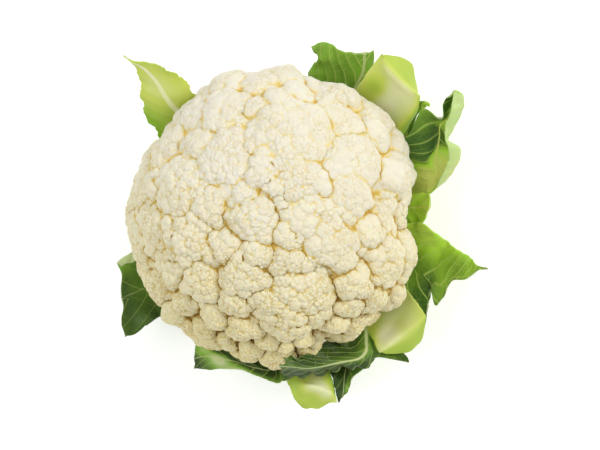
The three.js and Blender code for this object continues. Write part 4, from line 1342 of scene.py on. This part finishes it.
def leaf_sheet(leaf, seed):
    """The leaf's middle surface on a grid, and the values that its looks are made of."""
    places, green, rib_at = guided_surface(leaf) if "rib" in leaf else short_surface(leaf)
    shape = green.shape
    across, down = leaf_distances(places, rib_at)
    along = down[:, None] + 0 * across
    left = across > 0
    span = np.where(left, across[:, -1:], -across[:, :1]) + 1e-6
    share = np.abs(across) / span  # 0 at the midrib, 1 at the margin
    open_blade = ramp(along, *BLADE_OPENS) * np.clip(span / NARROW, 0, 1)
    places = cut_margin(places, leaf, seed, down, left, open_blade, share)
    places = fray_end(places, leaf, seed, down, across[-1:], span[-1:])

    grid = np.stack([along, across], -1).reshape(-1, 2)
    spacing, slant, strength = leaf["veins"]
    length, bends, fine_bends = VEIN_WANDER
    wander = waves(grid, length, seed + 20).reshape(shape)
    phase = (along - slant * np.abs(across) - VEIN_BEND * across**2 + wander * bends) / spacing + 0.5 * left
    branch = (along + BRANCH_SLANT * np.abs(across) + wander * fine_bends) / (spacing * BRANCH_VEINS)
    height, length = leaf["ruffle"]
    ruffle = np.sin(2 * math.pi * along / length + seed + RUFFLE_TURN * left)
    ruffle = ruffle + RUFFLE_CHANCE * waves(grid, length * RUFFLE_CHANCE, seed + 30).reshape(shape)
    loose = share**RUFFLE_STAYS * open_blade
    bulge, full_at = BLADE_PILLOWS
    pillow = bulge * np.cos(2 * math.pi * phase) * np.clip(np.abs(across) / full_at, 0, 1)
    pillow = pillow * open_blade * strength
    places = places + sheet_normals(places) * (height * ruffle * loose - pillow)[..., None]
    drift, drift_length = TONE_DRIFT
    looks = {
        "across": np.abs(across),
        "vein_phase": phase,
        "vein_spacing": np.full(shape, float(spacing)),
        "branch_phase": branch,
        "vein_strength": strength * ramp(along, *VEINS_OPEN),
        "tone": green + drift * waves(grid, drift_length, seed + 40).reshape(shape),
        "rib": (1 - along / down[-1]) ** RIB_TAPER * leaf.get("stem", 1),
        "rib_size": np.full(shape, float(leaf.get("rib_size", 1))) * np.clip(span / 4, 0, 1),
        "edge": share,
    }
    return places, looks


def mixed(start, end, t):
    return start + (end - start) * t


def make_leaf(name, leaf, seed, finish):
    """A leaf as a closed sheet: its upper face, its lower face with the midrib, and its margin."""
    places, looks = leaf_sheet(leaf, seed)
    normals = sheet_normals(places)
    rows, columns = places.shape[:2]
    blade = mixed(*BLADE, looks["edge"]) / 2
    blade = blade * np.where(looks["edge"] > 0.999, MARGIN_THIN, 1)
    rib = mixed(RIB_HEIGHT[1], RIB_HEIGHT[0], looks["rib"])
    spread = mixed(RIB_SPREAD[1], RIB_SPREAD[0], looks["rib"])
    rib = rib * np.exp(-((looks["across"] / spread) ** 2)) * (1 - looks["edge"] ** 4)
    upper = places + normals * blade[..., None]
    lower = places - normals * (blade + rib)[..., None]
    count = rows * columns
    index = np.arange(count).reshape(rows, columns)
    face = np.stack([index[:-1, :-1], index[1:, :-1], index[1:, 1:], index[:-1, 1:]], -1).reshape(-1, 4)
    around = np.concatenate([index[:-1, 0], index[-1, :-1], index[:0:-1, -1], index[0, :0:-1]])
    following = np.roll(around, -1)
    rim = np.stack([around, around + count, following + count, following], 1)
    faces = np.concatenate([face, face[:, ::-1] + count, rim])
    thing = new_thing(name, np.concatenate([upper.reshape(-1, 3), lower.reshape(-1, 3)]), faces.tolist())
    for key, value in looks.items():
        add_values(thing.data, key, np.tile(value.ravel(), 2))
    add_values(thing.data, "under", np.repeat([0.0, 1.0], count))
    thing.data.materials.append(finish)
    hand_over(thing, leaf.get("node", name))


UNDERSIDE_BLOOM = (0.60, 0.685, 0.37, 1)
LEAF_GREENS = {  # for each slot: the light green; the dark green, which also serves as painted shade; the veins; and the midrib, whose colour also serves for whitish parts and painted light
    "leaf_pale": ((0.56, 0.64, 0.11), (0.22, 0.42, 0.02), (0.62, 0.68, 0.24), (0.80, 0.80, 0.50)),
    "leaf_green": ((0.40, 0.68, 0.04), (0.05, 0.12, 0.012), (0.44, 0.58, 0.11), (0.62, 0.68, 0.15)),
    "leaf_dark": ((0.22, 0.42, 0.04), (0.03, 0.065, 0.009), (0.43, 0.53, 0.12), (0.55, 0.60, 0.28)),
}
LEAF_FINISHES = {"leaf_pale": "pale_leaf", "leaf_green": "green_leaf", "leaf_dark": "dark_leaf"}
GREEN_SOCKETS = ("Light green", "Dark green", "Vein", "Rib")
LEAF_LIGHT = (0.12, (0.5, 1.0, 0.2), 0.0015)  # how light spreads in a leaf, as through_light says
LEAF_BUMP = (0.5, 0.0005)  # strength of the veins' relief, and its height in metres
# the patterns in a leaf, as counts in a metre: mottling, gaps in the fine veins and the net of the finest
MOTTLE_SCALE, GAP_SCALE, NET_SCALE = 90.0, 130.0, 330.0
VEIN_WIDTH = (0.95, 0.022, 0.3)  # half-width of a side vein at the midrib, less for each mm, and the least
FINE_VEIN_WIDTH = 0.4
RIB_WIDTH = (1.6, 8.0)  # half-width of the midrib's colour at the leaf's end, and how much more at the stalk


def vein_lines(g, phase, spacing, width):
    """A mask of lines of a width, one for each whole step of the phase."""
    off = g.maths("ABSOLUTE", g.minus(g.maths("FRACT", phase), 0.5))
    return g.between(g.times(off, spacing), width, g.times(width, 0.25))


def leaf_veins(g, place, across, under):
    """Masks of a leaf's veins and of its midrib."""
    spacing, strength = g.stored("vein_spacing"), g.stored("vein_strength")
    width, taper, least = VEIN_WIDTH
    thin = g.maths("MAXIMUM", g.minus(width, g.times(across, taper)), least)
    lateral = vein_lines(g, g.stored("vein_phase"), spacing, thin)
    branch = vein_lines(g, g.stored("branch_phase"), g.times(spacing, BRANCH_VEINS), FINE_VEIN_WIDTH)
    gaps = g.between(g.noise(place, GAP_SCALE, 2.0), 0.42, 0.58)
    branch = g.times(g.times(branch, gaps), 0.5)
    cells = {"Vector": place, "Scale": NET_SCALE}
    cells = g.add("ShaderNodeTexVoronoi", cells, feature="DISTANCE_TO_EDGE")
    network = g.times(g.between(cells.outputs["Distance"], 0.1, 0.01), g.plus(g.times(under, 0.5), 0.16))
    fine = g.times(g.maths("MAXIMUM", branch, network), strength)
    veins = g.maths("MAXIMUM", g.times(lateral, strength), fine)
    least, wider = RIB_WIDTH
    width = g.plus(g.times(g.stored("rib"), wider), least)
    width = g.times(width, g.maths("MAXIMUM", g.stored("rib_size"), g.times(under, 0.6)))
    width = g.maths("MAXIMUM", width, 0.01)
    return veins, g.between(across, width, g.times(width, 0.3))


def leaf_tissue():
    """Colour and relief of a leaf from its two greens: blade, veins, midrib and underside."""
    greens = zip(GREEN_SOCKETS, LEAF_GREENS["leaf_green"])
    inputs = [(name, "NodeSocketColor", (*green, 1)) for name, green in greens]
    outputs = [("Color", "NodeSocketColor"), ("Height", "NodeSocketFloat"), ("Gloss", "NodeSocketFloat")]
    g, given, result = new_group("leaf_tissue", "ShaderNodeTree", inputs, outputs)
    get = given.outputs
    place, across, under = g.object_place(), g.stored("across"), g.stored("under")
    mottle = g.noise(place, MOTTLE_SCALE, 4.0)
    tone = g.plus(g.stored("tone"), g.times(g.minus(mottle, 0.5), 0.35))
    # the tone mixes the leaf's own greens with painted shade where it is deep and painted light where it is
    # below 0
    blade = g.colours(tone, get["Light green"], get["Dark green"])
    blade = g.colours(g.times(tone, -1.0), blade, get["Rib"])
    veins, rib = leaf_veins(g, place, across, under)
    colour = g.colours(veins, blade, get["Vein"])
    colour = g.colours(g.times(rib, 0.9), colour, get["Rib"])
    colour = g.colours(under, colour, g.colours(0.6, colour, UNDERSIDE_BLOOM))
    g.feed(result, "Color", colour)
    g.feed(result, "Height", g.plus(veins, g.times(mottle, 0.5)))
    g.feed(result, "Gloss", g.between(mottle, 0.3, 0.7, 0.38, 0.5))
    return g.tree


def leaf_finish(tissue, name, greens):
    """A leaf's material in its own greens."""
    settings = {"Specular IOR Level": 0.25, **through_light(*LEAF_LIGHT)}
    material, g, shader = new_material(name, settings)
    looks = use_group(g, tissue, {name: (*green, 1) for name, green in zip(GREEN_SOCKETS, greens)})
    g.feed(shader, "Base Color", looks.outputs["Color"])
    g.feed(shader, "Roughness", looks.outputs["Gloss"])
    g.feed(shader, "Normal", g.bump(*LEAF_BUMP, looks.outputs["Height"]))
    return material


def make_leaves():
    tissue = leaf_tissue()
    finishes = {slot: leaf_finish(tissue, name, LEAF_GREENS[slot]) for slot, name in LEAF_FINISHES.items()}
    for i, (name, leaf) in enumerate({**LEAVES, **SHORT_LEAVES, **LOBES}.items()):
        slot = leaf.get("slot", "leaf_green")
        make_leaf(name, leaf, LEAF_SEED + LEAF_SEED_STEP * i, finishes[slot])


# ---------------------------------------------------------------- stalk and branches
STALK_SIDE = [  # radius at a height, from the cut face up
    (26.2, 0.0), (26.9, 0.6), (27.0, 2), (26.9, 6), (26.5, 11), (25.2, 17), (23.8, 24), (23.1, 31), (23, 37),
]
STALK_TURNS = 200
STALK_ROWS = 70
CUT_RINGS = 24
NECK_RINGS = 5
NECK_SUNK = 1.5  # how much lower the middle of the stalk's hidden upper end is
SCARS = [  # bearing and height of the scars of leaves that were cut off
    (20, 5), (72, 4.2), (118, 6), (165, 4.6), (213, 5.4),
    (262, 4.4), (315, 5.6), (345, 12), (142, 11.5), (238, 13),
]
SCAR_SIZE = (9.5, 3.6)  # half its width and half its height
SCAR_AROUND = 26  # radius of the stalk that the width is measured at
SCAR_DEPTH = 0.9
SCAR_EDGE = (0.92, 14)  # where that hollow ends, over the scar's own sizes, and how sharply
SCAR_RIM = (0.5, 1.1, 0.16)  # height of the raised rim, where it is highest, and its half-width
SCAR_TONE = (0.35, 0.65, 0.8, 0.25)  # brown all over, more in a ring, and that ring's place and half-width
RIDGE = (1.3, 6.5)  # height and half-width of the ridge that runs down from a leaf's foot
RIDGE_AROUND = 25  # radius that the width is measured at
RIDGE_TOP = (3, 1.5)  # how far over the leaf's foot it ends, and how softly
RIDGE_FADES = 8  # height over the cut face where it starts to fade
RIND_WAVES = (0.5, 9, 61)  # height and length of the rind's unevenness, and its seed
RIND_DRAWN = (1, 1, 0.25)  # it is drawn out along the stalk
STREAK_RUNS = (60, 90)  # over what lengths the streaks change down the rind and across the cut face
PITH_SUNK = 0.5  # the cut pith dries and sinks a little
PITH_EDGE = (0.75, 0.4)  # where it starts to, as a share of the radius, and over how much of it
KNIFE_WAY = (0.94, 0.34)
KNIFE_STEP = 1.7  # between the knife's marks
KNIFE_DEPTH = 0.08
KNIFE_FADES = 8  # how soon the marks fade towards the rim
STALK_LIGHT = (0.2, (1.0, 0.9, 0.4), 0.0012)  # how light spreads in the flesh, as through_light says
STALK_BUMP = (0.5, 0.0008)  # strength of the fine relief, and its height in metres
RIND_TINTS = ((0.44, 0.52, 0.22, 1), (0.68, 0.70, 0.44, 1))
SCAR_TINT = (0.58, 0.46, 0.24, 1)
PITH_TINTS = ((0.74, 0.73, 0.52, 1), (0.82, 0.81, 0.64, 1))
WOOD_TINTS = ((0.60, 0.58, 0.33, 1), (0.74, 0.72, 0.48, 1))
WOOD_RING = ((0.60, 0.66), (0.84, 0.79))  # its inner and outer edge in the cut face, as shares of the radius
BARK_TINT = (0.60, 0.68, 0.36, 1)
BARK_RING = (0.84, 0.90)
DRIED_TINT = (0.52, 0.40, 0.20, 1)


def leaf_feet():
    """Bearing and level of each leaf on the stalk."""
    shown = [leaf["base"][:2] for leaf in LEAVES.values()]
    return shown + [(leaf["rows"][0][2], leaf["rows"][0][1]) for leaf in SHORT_LEAVES.values()]


def stalk_finish():
    """Pale green rind with streaks down it; the cut face has a woody ring round a white pith."""
    settings = {"Roughness": 0.55, "Specular IOR Level": 0.35, **through_light(*STALK_LIGHT)}
    material, g, shader = new_material("stalk_flesh", settings)
    around = g.add("ShaderNodeAttribute", attribute_name="around").outputs["Vector"]
    streaks = g.noise(around, 9.0, 4.0)
    blotches = g.noise(g.object_place(), 70.0, 3.0)
    uneven = g.plus(g.times(streaks, 0.7), g.times(blotches, 0.3))
    rind = g.colours(g.between(uneven, 0.3, 0.7), *RIND_TINTS)
    rind = g.colours(g.times(g.stored("scar"), 0.8), rind, SCAR_TINT)
    ring = g.stored("ring")
    pith = g.colours(blotches, *PITH_TINTS)
    rays = g.between(g.noise(around, 26.0, 2.0), 0.4, 0.6)
    wood = g.colours(rays, *WOOD_TINTS)
    inner, outer = WOOD_RING
    woody = g.times(g.between(ring, *inner), g.between(ring, *outer))
    face = g.colours(woody, pith, wood)
    face = g.colours(g.between(ring, *BARK_RING), face, BARK_TINT)
    dried = g.times(g.between(blotches, 0.42, 0.7), g.between(ring, 0.3, 1.0, 0.2, 0.75))
    face = g.colours(dried, face, DRIED_TINT)
    g.feed(shader, "Base Color", g.colours(g.stored("cut"), rind, face))
    g.feed(shader, "Normal", g.bump(*STALK_BUMP, g.plus(streaks, g.times(rays, 0.3))))
    return material


def turn_off(turn, bearing):
    """How far round the stalk each turn lies from a bearing, in radians."""
    return (turn - math.radians(bearing) + math.pi) % (2 * math.pi) - math.pi


def stalk_side(turn):
    """The stalk's side as rows of points from the cut face up, and how scarred each point is."""
    circle = np.stack([np.cos(turn), np.sin(turn)], 1)
    side = spline(STALK_SIDE, np.linspace(0, 1, STALK_ROWS))
    reach, level = side[:, :1] + 0 * turn, side[:, 1:] + 0 * turn
    scar = np.zeros_like(reach)
    over, softness = RIDGE_TOP
    for bearing, height in leaf_feet():
        below = 1 / (1 + np.exp((level - height - over) / softness))
        ridge = RIDGE[0] * np.exp(-((turn_off(turn, bearing) * RIDGE_AROUND / RIDGE[1]) ** 2))
        reach = reach + ridge * below * np.clip(level / RIDGE_FADES, 0, 1)
    edge, sharp = SCAR_EDGE
    rim, rim_at, rim_wide = SCAR_RIM
    plain, browner, ring_at, ring_wide = SCAR_TONE
    for bearing, height in SCARS:
        off = turn_off(turn, bearing)
        far = np.hypot(off * SCAR_AROUND / SCAR_SIZE[0], (level - height) / SCAR_SIZE[1])
        inside = 1 / (1 + np.exp((far - edge) * sharp))
        reach = reach - SCAR_DEPTH * inside + rim * np.exp(-(((far - rim_at) / rim_wide) ** 2))
        tone = plain + browner * np.exp(-(((far - ring_at) / ring_wide) ** 2))
        scar = np.maximum(scar, inside * tone)
    points = np.stack([circle[:, 0] * reach, circle[:, 1] * reach, level], -1)
    rise, length, seed = RIND_WAVES
    reach = reach + rise * waves(points.reshape(-1, 3) * RIND_DRAWN, length, seed).reshape(reach.shape)
    return np.stack([circle[:, 0] * reach, circle[:, 1] * reach, level], -1), scar


def cut_face(rim):
    """The cut face inside the stalk's lower rim as rings of points: sunken pith and the knife's marks."""
    share = np.linspace(0, 1, CUT_RINGS + 1)[1:-1, None]
    face = np.concatenate([rim[None, :, :2] * share[..., None], np.zeros((len(share), len(rim), 1))], -1)
    sunk = PITH_SUNK * np.clip((PITH_EDGE[0] - share) / PITH_EDGE[1], 0, 1)
    across = face[..., 0] * KNIFE_WAY[0] + face[..., 1] * KNIFE_WAY[1]
    marks = np.abs(across / KNIFE_STEP % 1 - 0.5) * 2 * KNIFE_DEPTH
    face[..., 2] = sunk + marks * np.clip((1 - share) * KNIFE_FADES, 0, 1)
    return face


def neck_end(rim):
    """The stalk's upper end, hidden in the curd, as rings of points inside its rim."""
    share = np.linspace(1, 0, NECK_RINGS + 1)[1:-1, None]
    end = rim[None] * share[..., None]
    end[..., 2] = rim[:, 2] - np.linspace(0, 1, NECK_RINGS + 1)[1:-1, None] * NECK_SUNK
    return end


def make_stalk():
    turn = np.linspace(0, 2 * math.pi, STALK_TURNS, endpoint=False)
    points, scar = stalk_side(turn)
    rows = np.concatenate([cut_face(points[0]), points, neck_end(points[-1])])
    count = len(rows)
    index = np.arange(count * STALK_TURNS).reshape(count, STALK_TURNS)
    following = np.roll(index, -1, axis=1)
    quads = np.stack([index[:-1], following[:-1], following[1:], index[1:]], -1).reshape(-1, 4)
    under, over = count * STALK_TURNS, count * STALK_TURNS + 1  # the middle points of both ends
    start = np.stack([following[0], index[0], np.full(STALK_TURNS, under)], 1)
    end = np.stack([index[-1], following[-1], np.full(STALK_TURNS, over)], 1)
    places = np.concatenate([rows.reshape(-1, 3), [[0, 0, PITH_SUNK], [0, 0, rows[-1, 0, 2]]]])
    stalk = new_thing("stalk_flesh", places, quads.tolist() + start.tolist() + end.tolist())

    in_face = (CUT_RINGS - 1) * STALK_TURNS
    cut = np.zeros(len(places))
    cut[:in_face] = 1
    cut[under] = 1
    scars = np.zeros(len(places))
    scars[in_face:][: scar.size] = scar.ravel()
    radius = np.hypot(places[:, 0], places[:, 1])
    unit = places[:, :2] / np.maximum(radius, 1e-6)[:, None]
    down_rind, across_face = STREAK_RUNS
    around = np.column_stack([unit, places[:, 2] / down_rind + radius / across_face])
    add_values(stalk.data, "ring", radius / STALK_SIDE[0][0])
    add_values(stalk.data, "cut", cut)
    add_values(stalk.data, "scar", scars)
    add_values(stalk.data, "around", around, "FLOAT_VECTOR")
    stalk.data.materials.append(stalk_finish())
    hand_over(stalk, "stalk")


BRANCH_STEPS = 16
MAIN_BRANCHES = 11
BRANCH_FOOT = 20.5  # reach at which a branch leaves the stalk
BRANCH_THICK = 5.2  # its radius where it leaves the stalk
BRANCH_THIN = (0.6, 2.6)  # and at its floret: the first, and the second for each 10 mm of the floret's radius
BRANCH_SUNK = (0.2, 0.9)  # how many of its radii it lies deeper, at its foot, and at its end on the ripe side
BRANCH_LOWEST = 84  # a floret farther from the top than this, in degrees, shows its branch
BRANCH_LIGHT = (0.25, (1.0, 0.9, 0.4), 0.0012)
BRANCH_BUMP = (0.4, 0.0006)
BRANCH_TINTS = ((0.60, 0.64, 0.36, 1), (0.76, 0.75, 0.54, 1))


def branch_growth():
    """A tube along each path, as thick as the path says."""
    inputs = [
        ("Paths", "NodeSocketGeometry", None),
        ("Sides", "NodeSocketInt", 14),
        ("Finish", "NodeSocketMaterial", None),
    ]
    outputs = [("Branches", "NodeSocketGeometry")]
    g, given, result = new_group("branch_growth", "GeometryNodeTree", inputs, outputs)
    get = given.outputs
    path = g.add("GeometryNodeMeshToCurve", {"Mesh": get["Paths"]})
    section = g.add("GeometryNodeCurvePrimitiveCircle", {"Resolution": get["Sides"], "Radius": 1.0})
    wanted = {"Curve": path, "Profile Curve": section, "Scale": g.read("thick"), "Fill Caps": True}
    tube = g.add("GeometryNodeCurveToMesh", wanted)
    tube = g.add("GeometryNodeRealizeInstances", {"Geometry": tube})
    tube = g.add("GeometryNodeSetMaterial", {"Geometry": tube, "Material": get["Finish"]})
    g.feed(result, "Branches", tube)
    return g.tree


def branch_finish():
    """Mottled flesh between green and cream."""
    settings = {"Roughness": 0.55, **through_light(*BRANCH_LIGHT)}
    material, g, shader = new_material("branch_flesh", settings)
    mottle = g.noise(g.object_place(), 110.0, 3.0)
    flesh = g.colours(g.between(mottle, 0.35, 0.65), *BRANCH_TINTS)
    g.feed(shader, "Base Color", flesh)
    g.feed(shader, "Normal", g.bump(*BRANCH_BUMP, mottle))
    return material


def branch_path(seat, radius, t):
    """A branch's points from the stalk's neck to its floret, and its radius at each."""
    slow = t * t * (3 - 2 * t)
    bearing = math.atan2(seat[1], seat[0])
    step = 2 * math.pi / MAIN_BRANCHES
    main = round(bearing / step) * step
    bearings = main + (bearing - main) * slow
    foot = -math.asin(1 / math.hypot(1, BRANCH_FOOT / CREASES["drop"]))
    height = foot + (math.asin(seat[2] / np.linalg.norm(seat)) - foot) * t
    flat = np.cos(height)
    toward = np.stack([flat * np.cos(bearings), flat * np.sin(bearings), np.sin(height)], 1)
    least, growing = BRANCH_THIN
    size = mixed(BRANCH_THICK, growing * radius / 10 + least, slow)
    reach = crease_level(toward)[0]
    surface = toward * reach[:, None]
    at_foot, at_end = BRANCH_SUNK
    deeper = at_foot * (1 - t) + by_side(surface, 0, (at_end, 0, 0)) * t
    reach -= size * deeper + sinking(surface) * FLORET_TOP
    return toward * reach[:, None] + [0, 0, CURD_CENTRE], size


def make_branches():
    """The stems under the dome, each from the stalk's neck to one of the lowest florets."""
    seats, radii, _ = all_florets()
    low = seats[:, 2] / np.linalg.norm(seats, axis=1) < math.cos(math.radians(BRANCH_LOWEST))
    t = np.linspace(0, 1, BRANCH_STEPS)
    places, thick = zip(*(branch_path(seat, radius, t) for seat, radius in zip(seats[low], radii[low])))
    starts = [i * BRANCH_STEPS for i in range(len(places))]
    edges = [(start + k, start + k + 1) for start in starts for k in range(BRANCH_STEPS - 1)]
    branches = new_thing("curd_branches", np.concatenate(places), [], edges)
    add_values(branches.data, "thick", np.concatenate(thick) * MM)
    run_growth(branches, branch_growth(), {"Finish": branch_finish()})
    hand_over(branches, "curd")


make_camera()
make_floor()
make_light()
make_curd()
make_branches()
make_stalk()
make_leaves()
